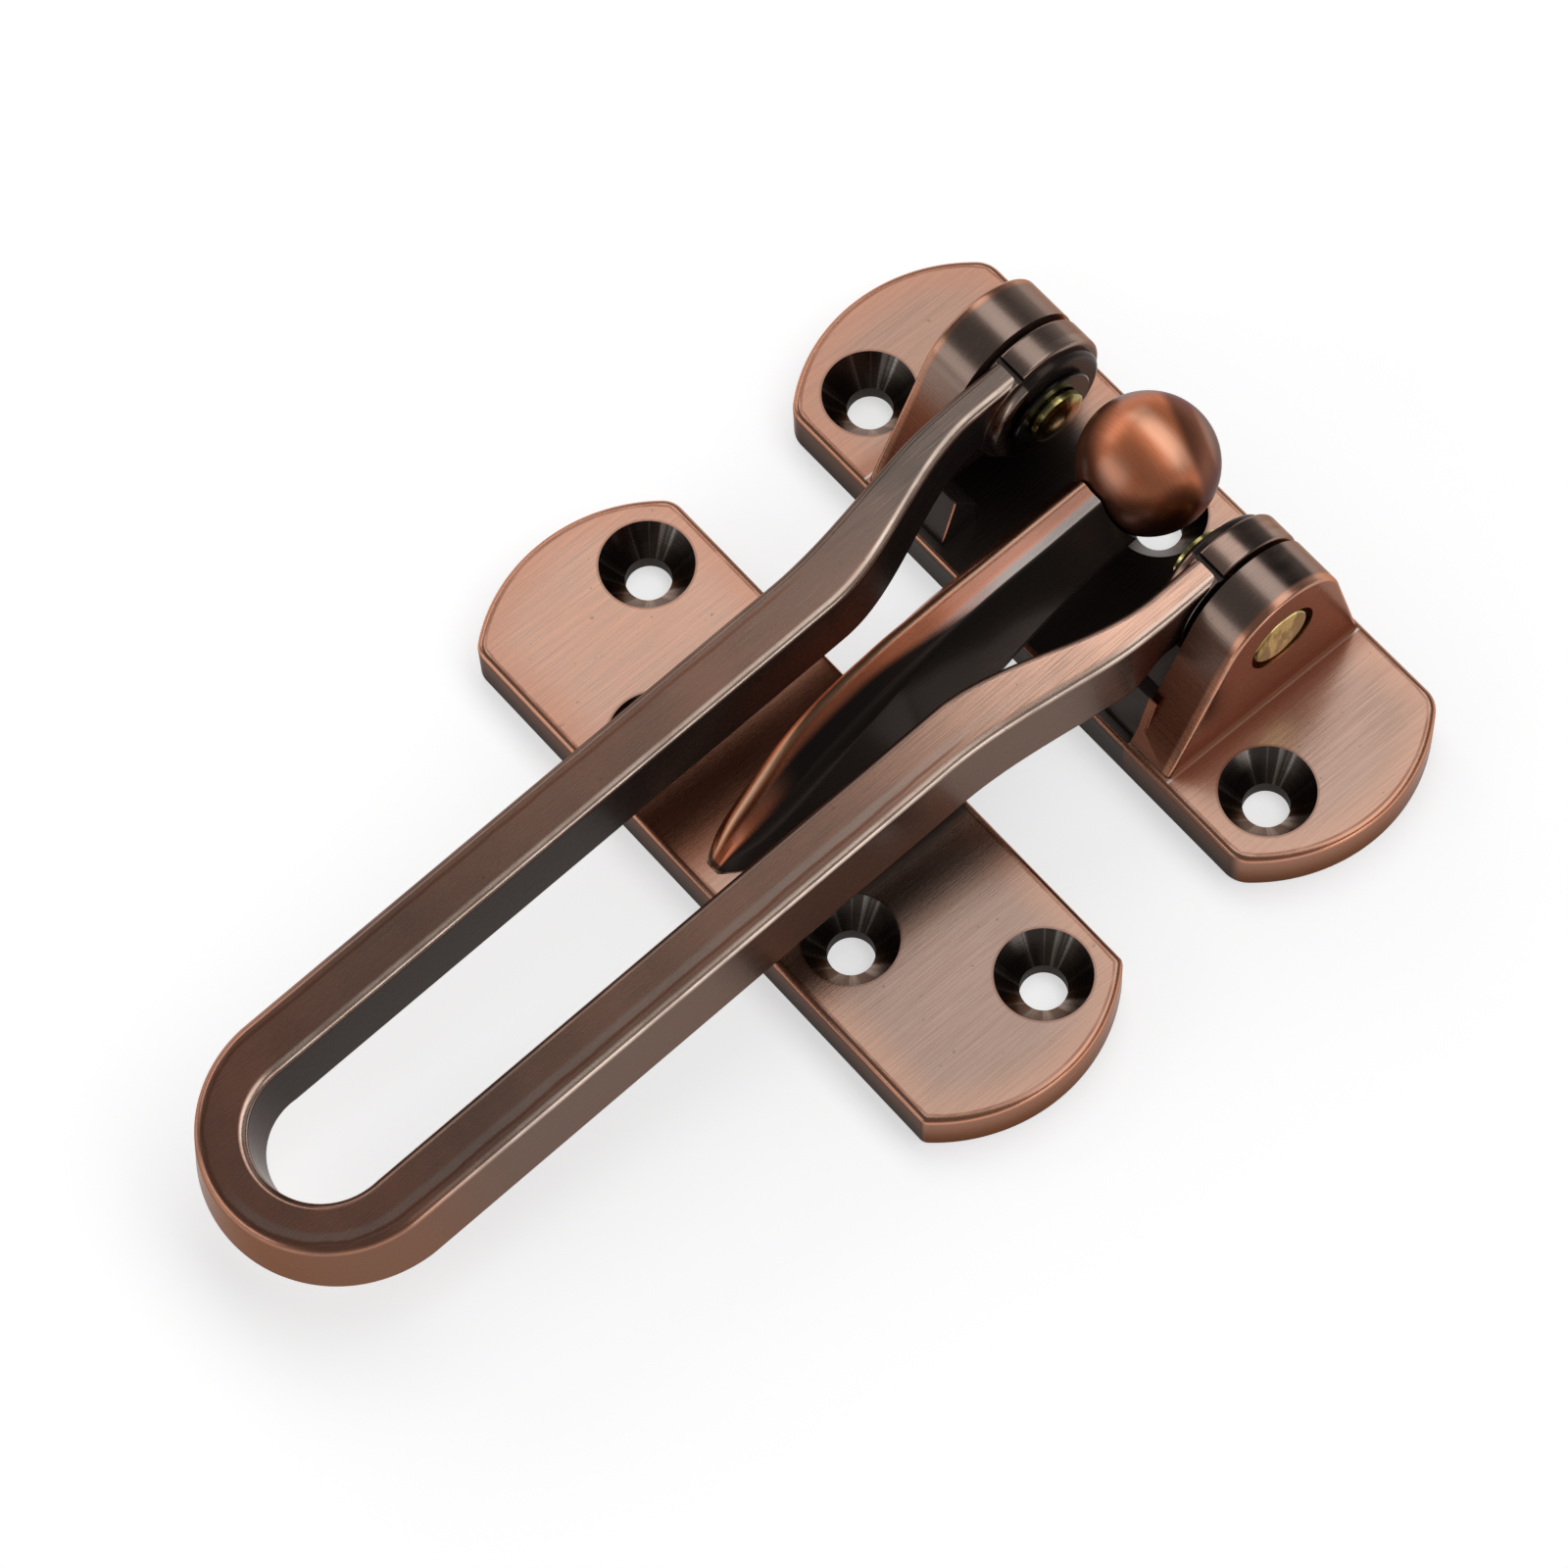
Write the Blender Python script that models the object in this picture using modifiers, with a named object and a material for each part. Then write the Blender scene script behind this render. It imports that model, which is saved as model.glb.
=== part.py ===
"""Swing bar door guard: a hinge plate with two ears, a U-shaped bar on two pins, and a door plate
whose curved arm carries a ball that the bar's slot goes over.

Metres, +Z up. Both plates stand on Z = 0 and run along X. The origin is on the hinge plate's
underside, midway between its two end screw holes, and the bar points to -Y from its pins.
"""

import math

import bmesh
import bpy
from mathutils import Matrix, Vector

# Both plates
PLATE_LENGTH = 0.080
PLATE_THICKNESS = 0.0052
PLATE_END_RADIUS = 0.0189
PLATE_EDGE_ROUND = 0.0007
PLATE_GAP = 0.0156

# Screw holes
SCREW_BORE = 0.0049
SCREW_HEAD = 0.0100
SCREW_HEAD_DEPTH = 0.0034

# Hinge plate
HINGE_PLATE_WIDTH = 0.0275
HINGE_PLATE_CORNER = 0.0032
HINGE_END_HOLE_X = 0.0305
HINGE_END_HOLE_Y = 0.0076
HINGE_MIDDLE_HOLE_Y = 0.0206

# Ears and the gussets inside them
EAR_OUTER_X = 0.0230
EAR_THICKNESS = 0.0057
EAR_RADIUS = 0.0079
EAR_RIM_ROUND = 0.0012
EAR_FRONT_INSET = 0.0009
EAR_REAR_INSET = 0.00055
GUSSET_THICKNESS = 0.0053
GUSSET_HEIGHT = 0.0070
GUSSET_DEPTH = 0.0054
GUSSET_INSET = 0.00015

# Pins and washers
PIN_HEIGHT = 0.01745
PIN_SETBACK = 0.0158
PIN_RADIUS = 0.0025
PIN_HEAD_RADIUS = 0.0032
PIN_HEAD_THICKNESS = 0.0013
PIN_HEAD_DOME = 0.0006
PIN_RIVET_RADIUS = 0.0035
PIN_RIVET_THICKNESS = 0.0010
PIN_EDGE_ROUND = 0.0003
RIVET_RECESS_RADIUS = 0.0041
RIVET_RECESS_DEPTH = 0.0014
WASHER_RADIUS = 0.0050
WASHER_THICKNESS = 0.0005

# Swing bar, in a frame whose X axis is the pin axis
REST_TILT = math.radians(5.0)
EYE_RADIUS = 0.0079
EYE_THICKNESS = 0.0037
EYE_EDGE_ROUND = 0.0005
EYE_BOSS_RADIUS = 0.0070
EYE_BOSS_HEIGHT = 0.0010
BAR_TOP = 0.0077
BAR_HEIGHT = 0.0074
SLOT_HALF = 0.0076
BAR_HALF = 0.01345
LOOP_CENTRE = 0.1036
LOOP_THINNING = 0.0005
INNER_DRAFT = 0.0010
OUTER_DRAFT = 0.0014
BAR_TOP_ROUND = 0.0011
BAR_UNDER_ROUND = 0.0005
SPREAD_START = 0.0080
INNER_SPREAD = 0.0240
OUTER_SPREAD = 0.0270
DRAFT_FADE_START = 0.0095
DRAFT_FADE = 0.0060
LEG_INSET = 0.00015
LEG_END = 0.0006
NOTCH_SETBACK = 0.0021
NOTCH_WIDTH = 0.0007
NOTCH_DEPTH = 0.0006

# Door plate
DOOR_PLATE_WIDTH = 0.0265
DOOR_PLATE_CORNER = 0.0012
DOOR_OUTER_HOLE_X = 0.0306
DOOR_OUTER_HOLE_Y = 0.0195
DOOR_INNER_HOLE_X = 0.0150
DOOR_INNER_HOLE_Y = 0.0076

# Arm, ball and stud
BALL_RADIUS = 0.0074
BALL_HEIGHT = 0.0186
BALL_SETBACK = 0.0186
ARM_TIP_INSET = 0.0018
ARM_TOP = 0.0213
ARM_RIDGE_HALF = 0.0022
ARM_RIDGE_ROUND = 0.0028
ARM_FOOT_HALF = 0.0068
ARM_SIDE_HEIGHT = 0.0008
ARM_UNDER_TOP = 0.0156
STUD_RADIUS = 0.00125
STUD_DROP = 0.0005
STUD_IN_ARM = 0.0045
STUD_IN_BALL = 0.0060

# Clearances and overruns
FIT_GAP = 0.0003
FACE_GAP = 0.00025
EYE_GAP = 0.0006
CUT_OVERRUN = 0.0020
JOIN_OVERLAP = 0.0010
WELD_DISTANCE = 0.00001

# Each pair is a share of the arm's length from its tip, and a share of the size named
ARM_RIDGE_SHARES = (
    (0.00, -0.03),
    (0.05, 0.14),
    (0.115, 0.30),
    (0.246, 0.583),
    (0.383, 0.745),
    (0.554, 0.85),
    (0.674, 0.894),
    (0.831, 0.935),
    (1.00, 1.00),
)
ARM_RIDGE_WIDTH_SHARES = (
    (0.00, 0.10),
    (0.05, 0.45),
    (0.10, 0.80),
    (0.20, 1.00),
    (0.32, 0.90),
    (0.46, 0.66),
    (0.60, 0.46),
    (0.85, 0.40),
    (1.00, 0.46),
)
ARM_FOOT_SHARES = (
    (0.00, 0.10),
    (0.07, 0.43),
    (0.19, 0.735),
    (0.315, 0.94),
    (0.46, 1.00),
    (0.57, 0.86),
    (0.69, 0.75),
    (0.83, 0.69),
    (1.00, 0.66),
)
# The arm's underside: share of its free length past the door plate, share of its rise
ARM_UNDER_SHARES = (
    (0.00, 0.00),
    (0.11, 0.29),
    (0.31, 0.64),
    (0.47, 0.77),
    (0.69, 0.93),
    (0.85, 0.99),
    (1.00, 1.00),
)
# Where the arm ends inside the ball's seat, as a share of the ball's radius from its centre
ARM_END_SHARE = 0.66
GUSSET_WAIST_SHARE = 0.5

SHARP_ANGLE = math.radians(30)
ARM_STEPS = 34
TURN_STEPS = 40
ROUND_STEPS = 3
DOME_STEPS = 5
PLATE_ARC_STEPS = 18
EAR_ARC_STEPS = 18
SPREAD_STEPS = 12
LOOP_STEPS = 28
BALL_SEGMENTS = 40
BALL_RINGS = 20

COPPER = (0.30, 0.145, 0.095, 1.0)
BALL_COPPER = (0.46, 0.190, 0.100, 1.0)
BRASS = (0.62, 0.47, 0.20, 1.0)
BLACK_STEEL = (0.05, 0.045, 0.045, 1.0)
STEEL = (0.42, 0.42, 0.43, 1.0)

# Places that follow from the sizes
HINGE_PLATE_Y = -HINGE_END_HOLE_Y
DOOR_PLATE_Y = HINGE_PLATE_Y - PLATE_GAP - DOOR_PLATE_WIDTH
PIN_Y = HINGE_PLATE_Y + PIN_SETBACK
BALL_Y = HINGE_PLATE_Y + BALL_SETBACK
EAR_INNER_X = EAR_OUTER_X - EAR_THICKNESS
EYE_OUTER_X = EAR_INNER_X - EYE_GAP
EYE_INNER_X = EYE_OUTER_X - EYE_THICKNESS
BOSS_INNER_X = EYE_INNER_X - EYE_BOSS_HEIGHT
WASHER_OUTER_X = BOSS_INNER_X - FACE_GAP
WASHER_INNER_X = WASHER_OUTER_X - WASHER_THICKNESS
PIN_HEAD_OUTER_X = WASHER_INNER_X - FACE_GAP
PIN_HEAD_INNER_X = PIN_HEAD_OUTER_X - PIN_HEAD_THICKNESS
RIVET_INNER_X = EAR_OUTER_X - RIVET_RECESS_DEPTH + FACE_GAP
RIVET_OUTER_X = RIVET_INNER_X + PIN_RIVET_THICKNESS
ARM_TIP_Y = DOOR_PLATE_Y + ARM_TIP_INSET
ARM_FREE_Y = DOOR_PLATE_Y + DOOR_PLATE_WIDTH
ARM_END_Y = BALL_Y - BALL_RADIUS * ARM_END_SHARE
SIDES = ((-1, "left"), (1, "right"))


# Scene helpers


def clear_scene():
    for old in list(bpy.data.objects):
        bpy.data.objects.remove(old, do_unlink=True)


def new_collection(name):
    collection = bpy.data.collections.new(name)
    bpy.context.scene.collection.children.link(collection)
    return collection


def object_from(name, data, collection):
    made = bpy.data.objects.new(name, data)
    collection.objects.link(made)
    return made


def mesh_from(name, work, collection):
    mesh = bpy.data.meshes.new(name)
    work.to_mesh(mesh)
    work.free()
    return object_from(name, mesh, collection)


def finish(made, colour, roughness, metallic):
    shown = bpy.data.materials.new(made.name)
    shown.use_nodes = True
    shader = shown.node_tree.nodes["Principled BSDF"]
    shader.inputs["Base Color"].default_value = colour
    shader.inputs["Roughness"].default_value = roughness
    shader.inputs["Metallic"].default_value = metallic
    shown.diffuse_color = colour
    made.data.materials.append(shown)


def boolean(target, tool, operation):
    tool.hide_render = True
    tool.display_type = "WIRE"
    modifier = target.modifiers.new(tool.name, "BOOLEAN")
    modifier.operation = operation
    modifier.object = tool


# Shapes


def arc(centre, radius, start, end, steps):
    """Points on an arc round a centre, both ends included."""
    angles = [start + (end - start) * step / steps for step in range(steps + 1)]
    return [(centre[0] + radius * math.cos(a), centre[1] + radius * math.sin(a)) for a in angles]


def rounded_corners(corners, radii, steps):
    """A closed counter-clockwise polygon with each corner rounded by its own radius."""
    points = []
    for index, (place, radius) in enumerate(zip(corners, radii)):
        corner = Vector(place)
        arriving = (corner - Vector(corners[index - 1])).normalized()
        leaving = (Vector(corners[(index + 1) % len(corners)]) - corner).normalized()
        turn = arriving.angle_signed(leaving) * -1
        centre = corner - arriving * radius * math.tan(turn / 2)
        centre += Vector((-arriving.y, arriving.x)) * radius
        start = math.atan2(-arriving.x, arriving.y)
        points += arc(centre, radius, start, start + turn, steps)
    return points


def value_at(shares, position):
    """A smooth value at a position, through a table of (position, value) pairs."""
    last = len(shares) - 1
    slopes = []
    for index in range(last + 1):
        low = shares[max(index - 1, 0)]
        high = shares[min(index + 1, last)]
        slopes.append((high[1] - low[1]) / (high[0] - low[0]))
    index = 0
    while index < last - 1 and position > shares[index + 1][0]:
        index += 1
    start, value = shares[index]
    end, following = shares[index + 1]
    width = end - start
    t = min(max((position - start) / width, 0.0), 1.0)
    blend = t * t * (3 - 2 * t)
    bend = slopes[index] * t * (1 - t) ** 2 - slopes[index + 1] * t * t * (1 - t)
    return value + (following - value) * blend + bend * width


def flat_body(name, outline, thickness, placement, collection):
    """An outline extruded to a thickness, centred on its plane, then placed by a matrix."""
    curve = bpy.data.curves.new(name, "CURVE")
    curve.dimensions = "2D"
    curve.fill_mode = "BOTH"
    curve.extrude = thickness / 2
    spline = curve.splines.new("POLY")
    spline.points.add(len(outline) - 1)
    for point, (x, y) in zip(spline.points, outline):
        point.co = (x, y, 0, 1)
    spline.use_cyclic_u = True
    drawn = object_from(name + " outline", curve, collection)
    bpy.context.view_layer.update()
    drawn_mesh = bpy.data.meshes.new_from_object(
        drawn.evaluated_get(bpy.context.evaluated_depsgraph_get())
    )
    work = bmesh.new()
    work.from_mesh(drawn_mesh)
    bmesh.ops.remove_doubles(work, verts=work.verts, dist=WELD_DISTANCE)
    bmesh.ops.dissolve_limit(
        work, angle_limit=math.radians(1), verts=work.verts[:], edges=work.edges[:]
    )
    bmesh.ops.transform(work, matrix=placement, verts=work.verts)
    bmesh.ops.recalc_face_normals(work, faces=work.faces)
    bpy.data.objects.remove(drawn, do_unlink=True)
    return mesh_from(name, work, collection)


def standing(middle_x):
    """Stands an outline's X and Y up as Y and Z, centred on a place along X."""
    return Matrix(((0, 0, 1, middle_x), (1, 0, 0, 0), (0, 1, 0, 0), (0, 0, 0, 1)))


def round_edges(made, width, chosen):
    """Rounds the sharp edges whose middles pass a test."""
    work = bmesh.new()
    work.from_mesh(made.data)
    weight = work.edges.layers.float.new("bevel_weight_edge")
    for edge in work.edges:
        sharp = edge.calc_face_angle() > SHARP_ANGLE
        middle = (edge.verts[0].co + edge.verts[1].co) / 2
        edge[weight] = 1.0 if sharp and chosen(middle) else 0.0
    work.to_mesh(made.data)
    work.free()
    modifier = made.modifiers.new("Edge round", "BEVEL")
    modifier.limit_method = "WEIGHT"
    modifier.width = width
    modifier.segments = ROUND_STEPS


def turned(name, profile, collection, closed=False):
    """A profile at +X turned round Z. It runs down its outer side from the top."""
    work = bmesh.new()
    points = [work.verts.new((radius, 0, height)) for radius, height in profile]
    for first, second in zip(points, points[1:]):
        work.edges.new((first, second))
    if closed:
        work.edges.new((points[-1], points[0]))
    made = mesh_from(name, work, collection)
    screw = made.modifiers.new("Turn", "SCREW")
    screw.steps = TURN_STEPS
    screw.render_steps = TURN_STEPS
    screw.use_merge_vertices = True
    screw.merge_threshold = WELD_DISTANCE
    return made


def cylinder(name, radius, low, high, collection):
    """A solid cylinder along Z between two heights."""
    work = bmesh.new()
    bmesh.ops.create_cone(
        work,
        cap_ends=True,
        segments=TURN_STEPS,
        radius1=radius,
        radius2=radius,
        depth=high - low,
        matrix=Matrix.Translation((0, 0, (high + low) / 2)),
    )
    return mesh_from(name, work, collection)


def lofted(name, sections, collection):
    """A skin through rings of equal point counts, capped at both ends."""
    work = bmesh.new()
    rings = [[work.verts.new(point) for point in section] for section in sections]
    for ring, following in zip(rings, rings[1:]):
        for index in range(len(ring)):
            ahead = (index + 1) % len(ring)
            work.faces.new((ring[index], ring[ahead], following[ahead], following[index]))
    work.faces.new(rings[0])
    work.faces.new(rings[-1])
    bmesh.ops.recalc_face_normals(work, faces=work.faces)
    return mesh_from(name, work, collection)


def aim_along_x(made, side):
    """Lays a turned piece on the pin axis, its top towards the left or the right."""
    made.rotation_euler = (0, side * math.pi / 2, 0)
    made.location = (0, PIN_Y, PIN_HEIGHT)


# Plates


def plate_outline(width, corner):
    """A strip with arc ends, its near edge on Y = 0, and a fillet at each corner."""
    middle = width / 2
    end_centre = PLATE_LENGTH / 2 - PLATE_END_RADIUS
    fillet_x = end_centre + math.sqrt((PLATE_END_RADIUS - corner) ** 2 - (middle - corner) ** 2)
    turn = math.atan2(middle - corner, fillet_x - end_centre)
    right = arc((fillet_x, corner), corner, -math.pi / 2, -turn, ROUND_STEPS)
    right += arc((end_centre, middle), PLATE_END_RADIUS, -turn, turn, PLATE_ARC_STEPS)[1:-1]
    right += arc((fillet_x, width - corner), corner, turn, math.pi / 2, ROUND_STEPS)
    return right + [(-x, y) for x, y in reversed(right)]


def plate_blank(name, width, corner, near_y, collection):
    placement = Matrix.Translation((0, near_y, PLATE_THICKNESS / 2))
    made = flat_body(name, plate_outline(width, corner), PLATE_THICKNESS, placement, collection)
    level = PLATE_THICKNESS - PLATE_EDGE_ROUND
    round_edges(made, PLATE_EDGE_ROUND, lambda middle: middle.z > level)
    return made


def cut_screw_hole(plate, name, x, y, cutters):
    bore = SCREW_BORE / 2
    head = SCREW_HEAD / 2
    flare = (head - bore) / SCREW_HEAD_DEPTH
    top = PLATE_THICKNESS + CUT_OVERRUN
    profile = (
        (0, top),
        (head + CUT_OVERRUN * flare, top),
        (bore, PLATE_THICKNESS - SCREW_HEAD_DEPTH),
        (bore, -CUT_OVERRUN),
        (0, -CUT_OVERRUN),
    )
    cutter = turned(name, profile, cutters)
    cutter.location = (x, y, 0)
    boolean(plate, cutter, "DIFFERENCE")


def ear_outline():
    """The ear seen along X: two straight flanks, tangent to a barrel round the pin axis."""
    far_edge = HINGE_PLATE_Y + HINGE_PLATE_WIDTH
    centre = Vector((PIN_Y, PIN_HEIGHT))
    front = Vector((HINGE_PLATE_Y + EAR_FRONT_INSET, PLATE_THICKNESS))
    rear = Vector((far_edge - EAR_REAR_INSET, PLATE_THICKNESS))
    to_front = front - centre
    to_rear = rear - centre
    front_angle = math.atan2(to_front.y, to_front.x) + 2 * math.pi
    front_angle -= math.acos(EAR_RADIUS / to_front.length)
    rear_angle = math.atan2(to_rear.y, to_rear.x) + math.acos(EAR_RADIUS / to_rear.length)
    barrel = arc(centre, EAR_RADIUS, rear_angle, front_angle, EAR_ARC_STEPS)
    sunk = PLATE_THICKNESS - JOIN_OVERLAP
    return [on_line(barrel[-1], front, sunk), on_line(barrel[0], rear, sunk)] + barrel


def on_line(first, second, height):
    """The point at a height on the straight line through two others."""
    share = (height - first[1]) / (second[1] - first[1])
    return (first[0] + (second[0] - first[0]) * share, height)


def gusset_outline():
    """The gusset seen along X: its front follows the ear's, and its top falls to the rear."""
    outline = ear_outline()
    sunk = PLATE_THICKNESS - JOIN_OVERLAP
    foot = on_line(outline[0], outline[-1], sunk)
    tip = on_line(outline[0], outline[-1], PLATE_THICKNESS + GUSSET_HEIGHT)
    back = HINGE_PLATE_Y + EAR_FRONT_INSET + GUSSET_DEPTH
    waist = PLATE_THICKNESS + GUSSET_HEIGHT * GUSSET_WAIST_SHARE
    return [
        (foot[0] + GUSSET_INSET, sunk),
        (back, sunk),
        (back, waist),
        (tip[0] + GUSSET_INSET, tip[1]),
    ]


def ear(side, word, cutters):
    middle = side * (EAR_OUTER_X - EAR_THICKNESS / 2)
    made = flat_body("ear " + word, ear_outline(), EAR_THICKNESS, standing(middle), cutters)
    bend = EAR_OUTER_X - EAR_THICKNESS / 2
    foot = PLATE_THICKNESS - JOIN_OVERLAP / 2
    round_edges(made, EAR_RIM_ROUND, lambda middle: side * middle.x > bend and middle.z > foot)
    return made


def gusset(side, word, cutters):
    width = GUSSET_THICKNESS + JOIN_OVERLAP
    middle = side * (EAR_INNER_X + JOIN_OVERLAP - width / 2)
    return flat_body("gusset " + word, gusset_outline(), width, standing(middle), cutters)


def cut_pin_seat(plate, side, word, cutters):
    """The pin's bore through one ear, with the round recess for its riveted end."""
    bore = PIN_RADIUS + FIT_GAP
    outside = EAR_OUTER_X + CUT_OVERRUN
    inside = EAR_INNER_X - CUT_OVERRUN
    recess_floor = EAR_OUTER_X - RIVET_RECESS_DEPTH
    profile = (
        (0, outside),
        (RIVET_RECESS_RADIUS, outside),
        (RIVET_RECESS_RADIUS, recess_floor),
        (bore, recess_floor),
        (bore, inside),
        (0, inside),
    )
    cutter = turned("pin seat " + word, profile, cutters)
    aim_along_x(cutter, side)
    boolean(plate, cutter, "DIFFERENCE")


def hinge_plate(parts, cutters):
    made = plate_blank("hinge_plate", HINGE_PLATE_WIDTH, HINGE_PLATE_CORNER, HINGE_PLATE_Y, parts)
    for side, word in SIDES:
        boolean(made, ear(side, word, cutters), "UNION")
        boolean(made, gusset(side, word, cutters), "UNION")
    for side, word in SIDES:
        cut_pin_seat(made, side, word, cutters)
        x = side * HINGE_END_HOLE_X
        y = HINGE_PLATE_Y + HINGE_END_HOLE_Y
        cut_screw_hole(made, "hinge plate hole " + word, x, y, cutters)
    middle_y = HINGE_PLATE_Y + HINGE_MIDDLE_HOLE_Y
    cut_screw_hole(made, "hinge plate hole middle", 0, middle_y, cutters)
    finish(made, COPPER, 0.36, 1.0)
    return made


# Door plate, arm, ball and stud


def arm_section(y):
    """The arm's ring of points at one place along Y: a roof with a rounded ridge."""
    along = (y - ARM_TIP_Y) / (ARM_END_Y - ARM_TIP_Y)
    ridge_z = PLATE_THICKNESS + (ARM_TOP - PLATE_THICKNESS) * value_at(ARM_RIDGE_SHARES, along)
    ridge_share = value_at(ARM_RIDGE_WIDTH_SHARES, along)
    ridge_half = ARM_RIDGE_HALF * ridge_share
    foot_half = ARM_FOOT_HALF * value_at(ARM_FOOT_SHARES, along)
    free = (y - ARM_FREE_Y) / (ARM_END_Y - ARM_FREE_Y)
    if free > 0:
        rise = (ARM_UNDER_TOP - PLATE_THICKNESS) * value_at(ARM_UNDER_SHARES, free)
    else:
        rise = max(y - ARM_FREE_Y, -JOIN_OVERLAP)
    under = PLATE_THICKNESS + rise
    foot_z = max(PLATE_THICKNESS, under + ARM_SIDE_HEIGHT)
    ridge_z = max(ridge_z, under + ARM_SIDE_HEIGHT)
    if y <= ARM_FREE_Y - JOIN_OVERLAP:
        foot_z = min(foot_z, ridge_z)
    corners = (
        (-foot_half, under),
        (foot_half, under),
        (foot_half, foot_z),
        (ridge_half, ridge_z),
        (-ridge_half, ridge_z),
        (-foot_half, foot_z),
    )
    edge = ARM_SIDE_HEIGHT / 4
    crown = ARM_RIDGE_ROUND * ridge_share
    radii = (edge, edge, edge, crown, crown, edge)
    return [(x, y, z) for x, z in rounded_corners(corners, radii, ROUND_STEPS)]


def stud_cylinder(name, radius, play, collection):
    """A cylinder on the stud's axis, from inside the ball to inside the arm."""
    low = BALL_RADIUS - STUD_IN_BALL - play
    high = BALL_RADIUS + STUD_IN_ARM + play
    made = cylinder(name, radius, low, high, collection)
    made.rotation_euler = (math.pi / 2, 0, 0)
    made.location = (0, BALL_Y, BALL_HEIGHT - STUD_DROP)
    return made


def ball_blank(name, radius, collection):
    work = bmesh.new()
    bmesh.ops.create_uvsphere(
        work, u_segments=BALL_SEGMENTS, v_segments=BALL_RINGS, radius=radius
    )
    made = mesh_from(name, work, collection)
    made.location = (0, BALL_Y, BALL_HEIGHT)
    return made


def door_plate(parts, cutters):
    """The door plate and its arm, which is cast with it."""
    made = plate_blank("door_plate", DOOR_PLATE_WIDTH, DOOR_PLATE_CORNER, DOOR_PLATE_Y, parts)
    reach = ARM_END_Y - ARM_TIP_Y
    places = [ARM_TIP_Y + reach * step / ARM_STEPS for step in range(ARM_STEPS + 1)]
    arm = lofted("arm", [arm_section(y) for y in places], cutters)
    boolean(made, arm, "UNION")
    boolean(made, ball_blank("ball seat", BALL_RADIUS + FIT_GAP, cutters), "DIFFERENCE")
    boolean(made, stud_cylinder("stud bore", STUD_RADIUS + FIT_GAP, FIT_GAP, cutters), "DIFFERENCE")
    holes = (
        ("outer", DOOR_OUTER_HOLE_X, DOOR_OUTER_HOLE_Y),
        ("inner", DOOR_INNER_HOLE_X, DOOR_INNER_HOLE_Y),
    )
    for row, x, y in holes:
        for side, word in SIDES:
            name = "door plate " + row + " hole " + word
            cut_screw_hole(made, name, side * x, DOOR_PLATE_Y + y, cutters)
    finish(made, COPPER, 0.36, 1.0)
    return made


def ball(parts, cutters):
    made = ball_blank("ball", BALL_RADIUS, parts)
    bore = stud_cylinder("ball bore", STUD_RADIUS + FIT_GAP, FIT_GAP, cutters)
    boolean(made, bore, "DIFFERENCE")
    finish(made, BALL_COPPER, 0.30, 1.0)
    return made


def ball_stud(parts):
    made = stud_cylinder("ball_stud", STUD_RADIUS, 0, parts)
    finish(made, STEEL, 0.35, 1.0)
    return made


# Swing bar and pins


def eased(position, start, length):
    """Rises smoothly from 0 to 1 over a length that ends at minus the start."""
    share = min(max((position + start + length) / length, 0.0), 1.0)
    return share * share * (3 - 2 * share)


def leg_section(y):
    """The bar's section at one place along its leg, as (distance from the middle, height)."""
    inner_reach = EYE_INNER_X + LEG_INSET - SLOT_HALF
    outer_reach = EYE_OUTER_X - LEG_INSET - BAR_HALF
    inner = SLOT_HALF + inner_reach * eased(y, SPREAD_START, INNER_SPREAD)
    outer = BAR_HALF + outer_reach * eased(y, SPREAD_START, OUTER_SPREAD)
    fade = 1 - eased(y, DRAFT_FADE_START, DRAFT_FADE)
    inner_draft = INNER_DRAFT * (1 - eased(y, SPREAD_START, INNER_SPREAD))
    under = BAR_TOP - BAR_HEIGHT
    corners = (
        (inner - inner_draft, under),
        (outer + OUTER_DRAFT * fade, under),
        (outer, BAR_TOP),
        (inner, BAR_TOP),
    )
    radii = (BAR_UNDER_ROUND, BAR_UNDER_ROUND, BAR_TOP_ROUND, BAR_TOP_ROUND)
    return rounded_corners(corners, radii, ROUND_STEPS)


def leg_places():
    """Places along a leg, from its eye to where the loop's arc starts."""
    length = SPREAD_START + OUTER_SPREAD
    places = [-LEG_END, -SPREAD_START]
    for step in range(1, SPREAD_STEPS + 1):
        places.append(-SPREAD_START - (length - SPREAD_START) * step / SPREAD_STEPS)
    return places


def loop_section(angle):
    """The bar's section at one angle round the loop, its wall thinnest at the far end."""
    middle = (SLOT_HALF + BAR_HALF) / 2
    keep = 1 - 2 * LOOP_THINNING * math.sin(angle) / (BAR_HALF - SLOT_HALF)
    points = []
    for distance, height in leg_section(-LOOP_CENTRE):
        reach = middle + (distance - middle) * keep
        points.append((-reach * math.cos(angle), -LOOP_CENTRE - reach * math.sin(angle), height))
    return points


def bar_sections():
    """Rings along the bar, down the left leg, round the loop and up the right leg."""
    left = [[(-d, y, z) for d, z in leg_section(y)] for y in leg_places()]
    right = [[(d, y, z) for d, z in leg_section(y)] for y in reversed(leg_places())]
    loop = [loop_section(math.pi * step / LOOP_STEPS) for step in range(LOOP_STEPS + 1)]
    return left + loop + right


def eye(side, word, cutters):
    """The round disc at a leg's end, with its rims rounded."""
    made = cylinder("eye " + word, EYE_RADIUS, EYE_INNER_X, EYE_OUTER_X, cutters)
    round_edges(made, EYE_EDGE_ROUND, lambda middle: True)
    made.rotation_euler = (0, side * math.pi / 2, 0)
    return made


def eye_boss(side, word, cutters):
    """The lower disc that stands on the eye's inner face."""
    inside = EYE_INNER_X + JOIN_OVERLAP
    made = cylinder("eye boss " + word, EYE_BOSS_RADIUS, BOSS_INNER_X, inside, cutters)
    round_edges(made, EYE_EDGE_ROUND, lambda middle: middle.z < EYE_INNER_X)
    made.rotation_euler = (0, side * math.pi / 2, 0)
    return made


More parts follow.
